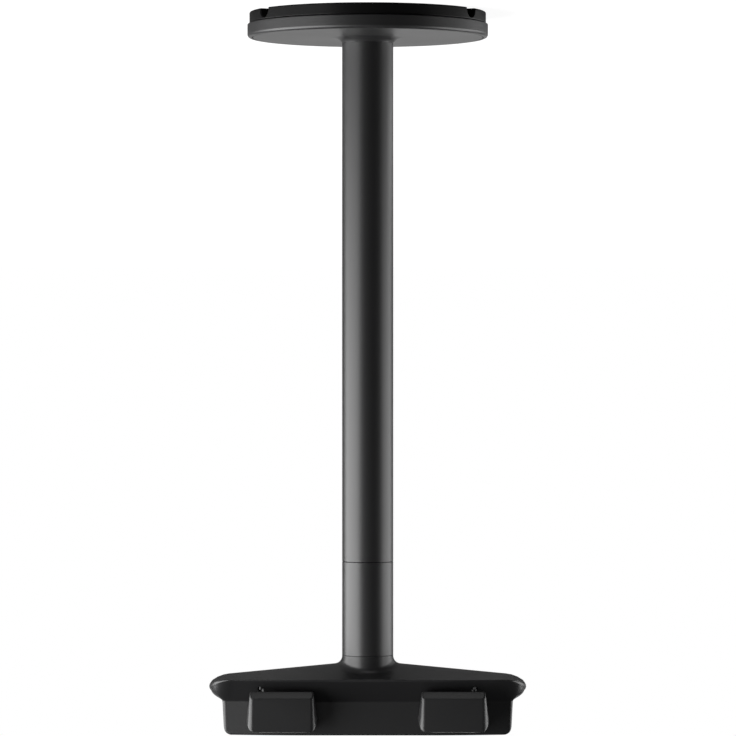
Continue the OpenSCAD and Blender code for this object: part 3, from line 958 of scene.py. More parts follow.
@dataclass
class HeadLines:
    """The lines that the head's pieces share: its plan, its edges and its keel."""

    crown_w: float = 112.4
    crown_t: float = 14.0
    crown_h: float = 13.2
    wing_w: float = 123.58
    wing_t: float = 30.0
    ledge_h: float = 8.9
    keel_drop: float = 6.8
    keel_slope: float = 0.097
    tip_rise: float = 3.9
    tip_round: float = 8.2
    nose_len: float = 9.0
    sweep_start: float = 20.0
    sweep_share: float = 0.72
    sweep_deg: float = 8.5

    def __post_init__(self) -> None:
        """Works out the heights from the frame, and the sweep's arc."""
        low, high = node_box("head_yoke")
        self.collar_low, self.top = float(low[2]), float(high[2])
        self.crease_z = self.top - self.crown_h
        self.edge_z = self.crease_z - self.ledge_h
        self.keel_z = self.edge_z - self.keel_drop
        self.tip_z = self.edge_z + self.tip_rise
        self.nose_start = self.wing_w / 2 - self.nose_len
        self.sweep_end = self.sweep_start + (self.crown_w / 2 - self.sweep_start) * self.sweep_share
        self.sweep_r = (self.sweep_end - self.sweep_start) / math.sin(math.radians(self.sweep_deg))

    def sweep_back(self, x: np.ndarray) -> np.ndarray:
        """How far the front line lies behind its middle: an arc, then a straight end."""
        angle = math.radians(self.sweep_deg)
        into = np.clip(np.abs(x) - self.sweep_start, 0, self.sweep_end - self.sweep_start)
        straight = np.maximum(np.abs(x) - self.sweep_end, 0) * math.tan(angle)
        return self.sweep_r - np.sqrt(self.sweep_r**2 - into**2) + straight

    def crown_half(self, x: np.ndarray) -> np.ndarray:
        """Half thickness of the crown at x."""
        return self.crown_t / 2 - self.sweep_back(x)

    def nose(self, x: np.ndarray) -> np.ndarray:
        """How far the wing's nose has closed at x: 1 up to its start and 0 at the tip."""
        share = np.clip((np.abs(x) - self.nose_start) / self.nose_len, 0, 1)
        return np.sqrt(1 - share**2)

    def wing_half(self, x: np.ndarray) -> np.ndarray:
        """Half depth of the wings at x."""
        run = np.minimum(np.abs(x), self.nose_start)
        return (self.wing_t / 2 - self.sweep_back(run)) * self.nose(x)

    def wing_edge(self, x: np.ndarray) -> np.ndarray:
        """Height of the wings' edge at x, which rises round the nose."""
        return self.edge_z + self.tip_rise * (1 - self.nose(x))

    def keel(self, x: np.ndarray) -> np.ndarray:
        """Height of the keel at x: a straight slope, then a quarter of an ellipse up to the tip."""
        bend = self.wing_w / 2 - self.tip_round
        low = self.keel_z + self.keel_slope * np.abs(x)
        share = np.clip((np.abs(x) - bend) / self.tip_round, 0, 1)
        return self.tip_z - (self.tip_z - low) * np.sqrt(1 - share**2)


def all_round(quarter: np.ndarray) -> np.ndarray:
    """Closes a ring from its quarter between the front's middle and the +X tip.

    Args:
        quarter: Points from x = 0 at the front to y = 0 at the tip.

    Returns:
        The whole ring, once round.
    """
    back, left, home = quarter[-2::-1], quarter[1:], quarter[-2:0:-1]
    return np.concatenate([quarter, back * (1, -1, 1), left * (-1, -1, 1), home * (-1, 1, 1)])


def along_line(points: np.ndarray, count: int) -> np.ndarray:
    """Evenly spaced points along a line.

    Args:
        points: The line's own points.
        count: Number of points wanted.

    Returns:
        The points, with the line's two ends among them.
    """
    travelled = np.concatenate([[0], np.cumsum(np.linalg.norm(np.diff(points, axis=0), axis=1))])
    wanted = np.linspace(0, travelled[-1], count)
    return np.stack([np.interp(wanted, travelled, column) for column in points.T], 1)


@dataclass
class YokeShape:
    """The head's one casting: collar, wings and upright crown."""

    lines: HeadLines
    front_steps: int = 44
    nose_steps: int = 24
    arc_steps: int = 7
    cove_steps: int = 8
    under_steps: int = 26
    under_bias: float = 0.85
    under_ends: tuple[float, float] = (0.02, 0.985)
    end_run: float = 3.2
    end_round: float = 1.2
    top_round: float = 0.8
    top_steps: int = 7
    corner_round: float = 3.1
    crease_round: float = 1.3
    edge_round: float = 0.75
    edge_reach: float = 0.42
    tip_edge_round: float = 2.0
    tip_reach: float = 0.62
    end_bulge: float = 0.8
    end_flare: float = 0.5
    cove_round: float = 3.0
    keel_round: float = 2.0
    collar_r: float = 10.0
    socket_r: float = 6.05
    socket_deep: float = 11.2
    collar_edge: float = 0.05
    collar_hold: float = 0.3
    seat_inset: float = 1.4
    seat_end: float = 6.0
    seat_deep: float = 1.2
    seat_edge: float = 0.12
    lip_wear: float = 0.3
    rim_wear: float = 0.6
    edge_probe: float = 1.2
    cove_probe: float = 2.0
    rim_shares: tuple[float, ...] = (0.0, 0.2, 0.45, 0.6, 0.72, 0.84, 0.94)
    wall_shares: tuple[float, ...] = (0.03, 0.12, 0.4, 0.62, 0.95)
    ledge_shares: tuple[float, ...] = (0.06, 0.2, 0.35, 0.5, 0.65, 0.8, 0.93)

    def crown_quarter(self, end_x: float, inset: float, end_round: float) -> np.ndarray:
        """A quarter of an outline like the crown's.

        Args:
            end_x: Half length of the outline.
            inset: Distance inside the crown's front line.
            end_round: Radius of its upright corners.

        Returns:
            Points in plan, as many as every other quarter has.
        """
        run_x = end_x - self.end_run
        front_x = np.linspace(0, run_x, self.front_steps + 1)
        front = np.stack([front_x, inset - self.lines.crown_half(front_x)], 1)
        corner = np.array([end_x, inset - self.lines.crown_half(np.array(end_x))])
        arc = fillet(corner, unit(front[-1] - corner), np.array([0.0, 1.0]), end_round, self.cove_steps)
        end = along_line(np.concatenate([front[-1:], arc, [[end_x, 0.0]]]), self.nose_steps + 1)
        return np.concatenate([front, end[1:]])

    def wing_quarter(self) -> np.ndarray:
        """A quarter of the wings' edge line, in space."""
        lines = self.lines
        turn = np.linspace(0, math.pi / 2, self.nose_steps + 1)[1:]
        x = np.concatenate([
            np.linspace(0, lines.nose_start, self.front_steps + 1),
            lines.nose_start + lines.nose_len * np.sin(turn),
        ])
        return np.stack([x, -lines.wing_half(x), lines.wing_edge(x)], 1)

    @staticmethod
    def outward(quarter: np.ndarray) -> np.ndarray:
        """Unit normals in plan of a quarter, pointing out."""
        along = np.gradient(quarter[:, :2], axis=0)
        normal = unit(np.stack([-along[:, 1], along[:, 0]], 1) * -1)
        normal[0], normal[-1] = (0.0, -1.0), (1.0, 0.0)
        return normal

    def under_z(self, plan: np.ndarray) -> np.ndarray:
        """Height of the underside at points in plan: a rounded V between the edge and the keel.

        Args:
            plan: The points.

        Returns:
            The height at each of them.
        """
        lines = self.lines
        grown_x = 1 + self.tip_reach / (lines.wing_w / 2)
        grown_y = 1 + self.edge_reach / (lines.wing_t / 2)
        x, y = plan[..., 0] / grown_x, np.abs(plan[..., 1]) / grown_y
        share = np.clip(y / np.maximum(lines.wing_half(x), THINNEST), 0, 1)
        round_share = self.keel_round / (lines.wing_t / 2)
        rise = (np.sqrt(share**2 + round_share**2) - round_share) / (
            math.sqrt(1 + round_share**2) - round_share
        )
        keel = lines.keel(x)
        return keel + (lines.wing_edge(x) - keel) * rise

    def on_under(self, plan: np.ndarray) -> np.ndarray:
        """Points in plan, lifted onto the underside."""
        return np.concatenate([plan, self.under_z(plan)[..., None]], -1)

    def rows(self) -> list[tuple[np.ndarray, float]]:
        """Quarter rows from the pad's seat down to the spindle's socket, and each one's wear."""
        return self._top_rows() + self._side_rows() + self._under_rows()

    def top_line(self, x: np.ndarray) -> np.ndarray:
        """Height of the crown's top at x, which rounds off at both ends."""
        into = np.clip(np.abs(x) - (self.lines.crown_w / 2 - self.corner_round), 0, self.corner_round)
        return self.lines.top - self.corner_round + np.sqrt(self.corner_round**2 - into**2)

    def _top_rows(self) -> list[tuple[np.ndarray, float]]:
        """The pad's seat, the rim round it and the crown's rounded upper edge."""
        lines, top = self.lines, self.lines.top
        half = lines.crown_w / 2
        self.crown = self.crown_quarter(half, 0.0, self.end_round)
        self.crown_out = self.outward(self.crown)
        seat = self.crown_quarter(half - self.seat_end, self.seat_inset, self.end_round)
        rim = seat + self.outward(seat) * self.seat_edge
        edge = self.crown - self.crown_out * self.top_round
        floor, lip = self._level(seat, top - self.seat_deep), self._level(seat, top - self.seat_edge)
        rows = [(floor, 0.0), (lip, self.lip_wear)]
        for share in self.rim_shares:
            plan = rim + (edge - rim) * share
            worn = 0.0 if share else self.rim_wear
            rows.append((np.column_stack([plan, self.top_line(plan[:, 0])]), worn))
        for turn in np.linspace(math.pi / 2, 0, self.top_steps + 1):
            plan = self.crown - self.crown_out * self.top_round * (1 - math.cos(turn))
            height = self.top_line(plan[:, 0]) - self.top_round * (1 - math.sin(turn))
            rows.append((np.column_stack([plan, height]), math.sin(2 * turn)))
        return rows

    def _side_rows(self) -> list[tuple[np.ndarray, float]]:
        """The crown's wall, the crease, the sloping ledge and the wings' edge."""
        lines = self.lines
        wing = self.wing_quarter()
        wing_out = self.outward(wing)
        tip = wing_out[:, :1] ** 2
        reach = self.edge_reach + (self.tip_reach - self.edge_reach) * tip
        edge_round = self.edge_round + (self.tip_edge_round - self.edge_round) * tip
        self.edge = wing + np.column_stack([wing_out * reach, np.zeros(len(wing))])
        flare = self.crown_out * self.end_flare * self.crown_out[:, :1] ** 2
        crease = self._level(self.crown + flare, lines.crease_z)
        wall_top = np.column_stack([self.crown, self.top_line(self.crown[:, 0]) - self.top_round])
        up = unit(wall_top - crease)
        down_ledge = unit(self.edge - crease)
        crease_arc = fillet(crease, up, down_ledge, self.crease_round, self.arc_steps)
        spoke = unit(self._spoke_ends() - self.edge[:, :2])
        near = self.on_under(self.edge[:, :2] + spoke * self.edge_probe)
        edge_arc = fillet(self.edge, -down_ledge, unit(near - self.edge), edge_round, self.arc_steps)
        self.edge_arc_end = edge_arc[-1]
        plain = [wall_top + (crease_arc[0] - wall_top) * share for share in self.wall_shares]
        plain += list(crease_arc)
        bulge = wing_out * self.end_bulge * wing_out[:, :1] ** 2
        for share in self.ledge_shares:
            row = crease_arc[-1] + (edge_arc[0] - crease_arc[-1]) * share
            row[:, :2] += bulge * math.sin(share * math.pi)
            plain.append(row)
        return [(row, 0.0) for row in plain] + list(zip(edge_arc, rounding_wear(self.arc_steps)))

    def _spoke_ends(self) -> np.ndarray:
        """Where the spokes from the wings' edge meet the collar, in plan."""
        return unit(self.edge[:, :2]) * self.collar_r

    def _under_rows(self) -> list[tuple[np.ndarray, float]]:
        """The keeled underside, the cove round the collar, the collar and its socket."""
        low = self.lines.collar_low
        ends = self._spoke_ends()
        round_dir = unit(ends)
        root = self.on_under(ends)
        outward = unit(self.on_under(ends + round_dir * self.cove_probe) - root)
        down = np.broadcast_to(np.array([0.0, 0.0, -1.0]), root.shape)
        cove = fillet(root, outward, down, self.cove_round, self.cove_steps)
        start, stop = self.edge_arc_end[:, :2], cove[0][:, :2]
        shares = np.linspace(0, 1, self.under_steps + 2)[1:-1] ** self.under_bias
        shares = sorted((*shares, *self.under_ends))
        rows = [self.on_under(start + (stop - start) * share) for share in shares] + list(cove)
        collar_and_socket = (
            (self.collar_r, self.collar_hold),
            (self.collar_r, self.collar_edge),
            (self.collar_r - self.collar_edge, 0.0),
            (self.socket_r, 0.0),
            (self.socket_r, self.socket_deep),
        )
        rows += [self._level(round_dir * radius, low + height) for radius, height in collar_and_socket]
        return [(row, 0.0) for row in rows]

    @staticmethod
    def _level(plan: np.ndarray, z: float) -> np.ndarray:
        """Points in plan at one height."""
        return np.column_stack([plan, np.full(len(plan), z)])

    def draft(self) -> Draft:
        """The casting as closed rings."""
        rows = self.rows()
        return Draft.from_rings([all_round(points) for points, _ in rows], [worn for _, worn in rows])


@dataclass
class HookShape:
    """One hook: a block on the crown with swelling sides, and a lip over a tapering slot."""

    lines: HeadLines
    pitch: float = 66.6
    width: float = 22.0
    face_h: float = 12.9
    face_drop: float = 2.2
    out: float = 10.0
    bevel_h: float = 2.6
    bevel_run: float = 0.7
    lip_t: float = 3.6
    lip_share: float = 0.6
    slot_h: float = 8.6
    swell_low: float = 1.35
    swell_high: float = 2.6
    draft_deg: float = 1.0
    root_y: float = -2.0
    root_drop: float = 0.6
    face_round: float = 0.15
    low_round: float = 0.8
    front_round: float = 0.9
    side_round: float = 4.4
    root_round: float = 6.5
    bevel_round: float = 0.4
    bevel_steps: int = 4
    lip_round: float = 0.5
    lip_steps: int = 5
    arc_steps: int = 6
    front_steps: int = 11
    front_turn: float = 0.9
    bevel_clear: float = 0.6
    climb_shares: tuple[float, ...] = (0.04, 0.2, 0.45, 0.7, 0.92, 0.995)
    rub: float = 0.7
    root_passes: int = 4

    def __post_init__(self) -> None:
        """Works out the block's planes and lines."""
        self.face_y = -(self.lines.crown_t / 2 + self.out)
        self.face_low = self.lines.top - self.face_drop - self.face_h
        self.low = self.face_low - self.bevel_h
        self.bevel_y = self.face_y + self.bevel_h * self.bevel_run
        self.tip_y = self.bevel_y + self.lip_t * self.lip_share
        self.slot_top = self.face_low + self.slot_h

    def underline(self) -> tuple[np.ndarray, np.ndarray]:
        """The block's lower line seen from the side, and how much each point is worn.

        Returns:
            Points of y and z from the bevel to the crown's wall, and their wear.
        """
        wall_y = -self.lines.crown_t / 2
        bevel = np.array([self.bevel_y, self.low])
        tip = np.array([self.tip_y, self.low])
        face = np.array([self.face_y, self.face_low])
        slot = np.array([wall_y, self.slot_top])
        back, up = unit(tip - bevel), unit(slot - tip)
        first = fillet(bevel, unit(face - bevel), back, self.bevel_round, self.bevel_steps)
        second = fillet(tip, -back, up, self.lip_round, self.lip_steps)
        climb = [second[-1] + (slot - second[-1]) * share for share in self.climb_shares]
        wear = [*rounding_wear(self.bevel_steps), *rounding_wear(self.lip_steps), *[0.0] * len(climb)]
        return np.array([*first, *second, *climb]), np.array(wear) * self.rub

    def half(self, swell: float, depth: np.ndarray) -> np.ndarray:
        """Half of the block's width at a depth behind its face, where its sides swell by an amount."""
        bow = np.clip(depth, 0, swell)
        behind = np.clip(depth - swell, 0, None) * math.tan(math.radians(self.draft_deg))
        return self.width / 2 + np.sqrt(2 * swell * bow - bow**2) + behind

    def ring(self, y: np.ndarray, low_z: float, inset: float) -> np.ndarray:
        """The block's section across y, as a four-sided figure with its own radius at each corner.

        Args:
            y: Depth of each point of the ring, or one depth for all.
            low_z: Height of the lower side.
            inset: Distance that the section draws in at its lower and upper side.

        Returns:
            The ring's points.
        """
        count = 4 * (self.arc_steps + 1)
        y = np.broadcast_to(np.asarray(y, float), (count,))
        depth = y - self.face_y
        share = depth / (self.root_y - self.face_y)
        top_front = self.face_low + self.face_h
        high = top_front + (self.lines.top - self.root_drop - top_front) * share - inset
        swelled = np.clip(depth / self.swell_high, 0, 1)
        high_round = self.front_round + (self.side_round - self.front_round) * swelled
        high_round = high_round + (self.root_round - self.side_round) * share
        narrow, wide = self.half(self.swell_low, depth), self.half(self.swell_high, depth)
        climb = (low_z - self.low) / (high - high_round - self.low)
        narrow = narrow + (wide - narrow) * np.clip(climb, 0, 1)
        turns = np.linspace(0, math.pi / 2, self.arc_steps + 1)
        lean = np.concatenate([math.pi / 2 - turns, turns, turns[::-1], (math.pi / 2 - turns)[::-1]])
        corner = np.repeat([0, 1, 1, 0], len(turns)).astype(bool)
        side = np.repeat([1, 1, -1, -1], len(turns))
        radius = np.where(corner, high_round, self.low_round)
        across = np.where(corner, wide, narrow) - radius * (1 - np.cos(lean))
        rise = radius * (1 - np.sin(lean))
        upward = np.where(corner, high - rise, low_z + inset + rise)
        return np.stack([across * side, y, upward], 1)

    def draft(self) -> Draft:
        """The hook on the +X side, closed against the crown's wall."""
        bevel_depth = self.bevel_y - self.face_y
        depths = self.swell_high * (1 - np.cos(np.linspace(0, self.front_turn, self.front_steps + 1)))
        rings = []
        for depth in depths[depths < bevel_depth - self.bevel_clear]:
            drawn = self.face_round - min(depth, self.face_round)
            inset = self.face_round - math.sqrt(self.face_round**2 - drawn**2)
            low_z = self.face_low - depth * self.bevel_h / bevel_depth
            rings.append(self.ring(self.face_y + depth, low_z, inset))
        under, worn = self.underline()
        wear = [0.0] * len(rings) + [*worn, 0.0]
        rings += [self.ring(y, z, 0.0) for y, z in under] + [self._root_ring()]
        draft = Draft.from_rings(rings, wear)
        draft.points[:, 0] += self.pitch / 2
        return draft

    def _root_ring(self) -> np.ndarray:
        """The ring that lies on the crown's curved wall."""
        depth = np.full(4 * (self.arc_steps + 1), -self.lines.crown_t / 2)
        for _ in range(self.root_passes):
            ring = self.ring(depth, self.slot_top, 0.0)
            depth = -self.lines.crown_half(ring[:, 0] + self.pitch / 2)
        return ring


@dataclass(frozen=True)
class CapScrew:
    """A cap screw along -Y with a hexagon socket, its head at the back."""

    shank_r: float = 1.25
    tip_h: float = 0.4
    tip_inset: float = 0.35
    head_r: float = 2.33
    head_h: float = 2.2
    seat_edge: float = 0.1
    head_edge: float = 0.25
    edge_mid: float = 0.07
    key: float = 2.0
    key_edge: float = 0.12
    key_flare: float = 1.12
    key_deep: float = 1.2
    steps: int = 48

    def draft(self) -> Draft:
        """The screw as closed rings, from its tip to the floor of its socket."""
        turns = np.linspace(0, math.tau, self.steps, endpoint=False)
        circle = np.stack([np.cos(turns), np.sin(turns)], 1)
        sector = np.mod(turns + math.pi / 6, math.pi / 3) - math.pi / 6
        hexagon = circle * (self.key / 2 / np.cos(sector))[:, None]
        low, high = node_box("hook_screws")
        tip, back = low[1], high[1]
        seat = back - self.head_h
        stations = (
            (circle * (self.shank_r - self.tip_inset), tip, 0.0),
            (circle * self.shank_r, tip + self.tip_h, 0.0),
            (circle * self.shank_r, seat, 0.0),
            (circle * (self.head_r - self.seat_edge), seat, 0.0),
            (circle * self.head_r, seat + self.seat_edge, 0.3),
            (circle * self.head_r, back - self.head_edge, 0.2),
            (circle * (self.head_r - self.edge_mid), back - self.edge_mid, 1.0),
            (circle * (self.head_r - self.head_edge), back, 0.4),
            (hexagon * self.key_flare, back, 0.3),
            (hexagon, back - self.key_edge, 0.8),
            (hexagon, back - self.key_deep, 0.0),
        )
        z = (low[2] + high[2]) / 2
        rings = [np.stack([p[:, 0], np.full(self.steps, y), z + p[:, 1]], 1) for p, y, _ in stations]
        return Draft.from_rings(rings, [worn for _, _, worn in stations])


@dataclass
class HeadAssembly:
    """The T-shaped head: casting, pad, two hooks and what fastens them."""

    lines: HeadLines = field(default_factory=HeadLines)
    screw: CapScrew = CapScrew()
    pad_fit: float = 0.05
    pad_round: float = 0.35
    pad_steps: int = 5
    pad_rub: float = 0.6
    pad_dome: float = 0.15
    pad_draw: float = 0.06
    dome_reach: tuple[float, float] = (0.06, 0.97)
    dome_rows: int = 9
    screw_pitch: float = 13.0
    bore_r: float = 2.63
    bore_steps: int = 40
    pin_sides: int = 32
    pin_end_h: float = 0.5
    pin_end_turn: float = 0.35
    pin_end_rows: int = 5
    pin_recess: float = 1.1
    recess_r: float = 1.2
    body: str = "head"
    inner_nodes: tuple[str, ...] = ("head_bolt", "head_washer")

    def __post_init__(self) -> None:
        """Shapes the casting and the hook."""
        self.yoke = YokeShape(self.lines)
        self.hook = HookShape(self.lines)
        self.pin_low, self.pin_high = node_box("hook_pins")
        self.pin_pitch = (self.pin_high[0] - self.pin_low[0]) - (self.pin_high[1] - self.pin_low[1])

    def pad_draft(self) -> Draft:
        """The top pad: a strip with soft edges and a slight crown along its middle."""
        yoke, top = self.yoke, self.lines.top
        end_x = self.lines.crown_w / 2 - yoke.seat_end - self.pad_fit
        outline = yoke.crown_quarter(end_x, yoke.seat_inset + self.pad_fit, yoke.end_round)
        out = yoke.outward(outline)
        shoulder = top - self.pad_dome
        rows = [(np.column_stack([outline, np.full(len(outline), top - yoke.seat_deep)]), 0.0)]
        for turn in np.linspace(0, math.pi / 2, self.pad_steps + 1):
            plan = outline - out * self.pad_round * (1 - math.cos(turn))
            z = shoulder - self.pad_round * (1 - math.sin(turn))
            worn = math.sin(2 * turn) * self.pad_rub
            rows.append((np.column_stack([plan, np.full(len(plan), z)]), worn))
        base = rows[-1][0]
        for share in np.linspace(*self.dome_reach, self.dome_rows):
            row = base * (1 - share * self.pad_draw, 1 - share, 1)
            row[:, 2] = shoulder + self.pad_dome * math.sin(share * math.pi / 2)
            rows.append((row, 0.0))
        return Draft.from_rings([all_round(points) for points, _ in rows], [worn for _, worn in rows])

    def pin_draft(self) -> Draft:
        """A short pin along Z with domed ends."""
        turns = np.linspace(0, math.tau, self.pin_sides, endpoint=False)
        radius = (self.pin_high[1] - self.pin_low[1]) / 2
        y = (self.pin_high[1] + self.pin_low[1]) / 2
        rings, wear = [], []
        for height, share in self._pin_stations(radius):
            across, along = radius * share * np.cos(turns), radius * share * np.sin(turns)
            rings.append(np.column_stack([across, y + along, np.full(len(turns), height)]))
            wear.append(1.0 - share)
        return Draft.from_rings(rings, wear)

    def _pin_stations(self, radius: float) -> list[tuple[float, float]]:
        """Heights along the pin, with the share of its radius at each."""
        low, high = self.pin_low[2], self.pin_high[2]
        rise = radius * self.pin_end_h
        foot = []
        for turn in np.linspace(self.pin_end_turn, math.pi / 2, self.pin_end_rows):
            foot.append((low + rise * (1 - math.sin(turn)), math.sin(turn)))
        return foot + [(low + high - z, share) for z, share in reversed(foot)]

    def bore(
        self,
        yoke: bpy.types.Object,
        trees: Trees,
        plastic: bpy.types.Material,
        radius: float,
        start: Vector,
        stop: Vector,
        **places: float,
    ) -> None:
        """Bores round holes into the casting on both sides of the head.

        Args:
            yoke: The casting.
            trees: The shared Geometry Nodes trees.
            plastic: The casting's material.
            radius: Radius of the holes.
            start: Centre of a hole's first end, at the head's middle.
            stop: Centre of its last end.
            places: The inputs of the tree that say where the holes are.
        """
        first = Vector((1, 0, 0))
        second = (stop - start).normalized().cross(first)
        rings = []
        for centre in (start, stop):
            ring = []
            for turn in np.linspace(0, math.tau, self.bore_steps, endpoint=False):
                point = centre + first * (radius * math.cos(turn)) + second * radius * math.sin(turn)
                ring.append(tuple(point))
            rings.append(np.array(ring))
        cutter = tidy(Draft.from_rings(rings, [0.0, 0.0]).build("bore_cutter"))
        grow(tidy(yoke), trees.pair_bores, plastic, Cutter=cutter, **places)
        bpy.data.objects.remove(cutter)

    def build_yoke(self, trees: Trees, wardrobe: Wardrobe) -> None:
        """Makes the casting, with its four counterbores at the back and a recess round each pin.

        Args:
            trees: The shared Geometry Nodes trees.
            wardrobe: The materials.
        """
        plastic = wardrobe["head_plastic"]
        yoke = self.yoke.draft().build("head_casting")
        screw_low, screw_high = node_box("hook_screws")
        z = (screw_low[2] + screw_high[2]) / 2
        seat = Vector((0, screw_high[1] - self.screw.head_h, z))
        back = Vector((0, self.lines.crown_t, z))
        self.bore(yoke, trees, plastic, self.bore_r, seat, back, **self.screw_places())
        y = (self.pin_low[1] + self.pin_high[1]) / 2
        floor, mouth = Vector((0, y, self.pin_high[2] - self.pin_recess)), Vector((0, y, self.lines.top))
        self.bore(yoke, trees, plastic, self.recess_r, floor, mouth, **self.pin_places())
        settle(tidy(yoke), self.body, "head_plastic", "head_yoke")

    def screw_places(self) -> dict[str, float]:
        """Where the hook screws stand, as the pair trees take it."""
        return {"Hook_pitch": self.hook.pitch * MM, "Screw_pitch": self.screw_pitch * MM, "Count": 4}

    def pin_places(self) -> dict[str, float]:
        """Where the two pins stand, as the pair trees take it."""
        return {"Hook_pitch": self.pin_pitch * MM, "Screw_pitch": 0.0, "Count": 2}

    def build_hooks(self, wardrobe: Wardrobe) -> None:
        """Makes the two hooks, each the other's mirror image.

        Args:
            wardrobe: The materials.
        """
        for mirror, side in ((1, "left"), (-1, "right")):
            draft = self.hook.draft()
            draft.points[:, 0] *= mirror
            piece = tidy(draft.build(f"hook_block_{side}"))
            wardrobe.dress(piece, "head_plastic")
            settle(piece, self.body, "head_plastic", f"hook_{side}")

    def build_fasteners(self, trees: Trees, wardrobe: Wardrobe) -> None:
        """Makes the hook screws and the two pins.

        Args:
            trees: The shared Geometry Nodes trees.
            wardrobe: The materials.
        """
        screws = self.screw.draft().build("hook_cap_screws")
        grow(screws, trees.pairs, wardrobe["black_steel"], **self.screw_places())
        settle(tidy(screws), self.body, "black_steel", "hook_screws")
        pins = self.pin_draft().build("hook_stop_pins")
        grow(pins, trees.pairs, wardrobe["black_steel"], **self.pin_places())
        settle(tidy(pins), self.body, "black_steel", "hook_pins")

    def build(self, trees: Trees, wardrobe: Wardrobe) -> None:
        """Makes the whole head.

        Args:
            trees: The shared Geometry Nodes trees.
            wardrobe: The materials.
        """
        self.build_yoke(trees, wardrobe)
        pad = tidy(self.pad_draft().build("top_pad_strip"))
        wardrobe.dress(pad, "pad_rubber")
        settle(pad, self.body, "pad_rubber", "top_pad")
        self.build_hooks(wardrobe)
        self.build_fasteners(trees, wardrobe)
        wardrobe.dress_frame(self.inner_nodes)


# ---------------------------------------------------------------------------------------------
# Studio
# ---------------------------------------------------------------------------------------------


@dataclass(frozen=True)
class Softbox:
    """A soft rectangular lamp that faces the stand."""

    name: str
    azimuth_deg: float
    distance: float
    width: float
    low: float
    high: float
    radiance: float
    tilt_deg: float = 0.0
    spread_deg: float = 180.0

    def build(self) -> None:
        """Hangs the lamp upright, or tilted up. Azimuth 0 is the camera's side and 90 is +X."""
        lamp = bpy.data.lights.new(self.name, "AREA")
        lamp.shape = "RECTANGLE"
        lamp.size, lamp.size_y = self.width, self.high - self.low
        lamp.energy = self.radiance * math.pi * lamp.size * lamp.size_y
        lamp.spread = math.radians(self.spread_deg)
        hung = bpy.data.objects.new(self.name, lamp)
        turn = math.radians(self.azimuth_deg)
        place = Vector((math.sin(turn), -math.cos(turn), 0)) * self.distance
        hung.location = place + Vector((0, 0, (self.low + self.high) / 2))
        level = place.to_track_quat("Z", "Y").to_matrix()
        tilt = Matrix.Rotation(math.radians(self.tilt_deg), 3, "X")
        hung.rotation_euler = (level @ tilt).to_euler()
        hung.visible_camera = False
        bpy.context.scene.collection.objects.link(hung)


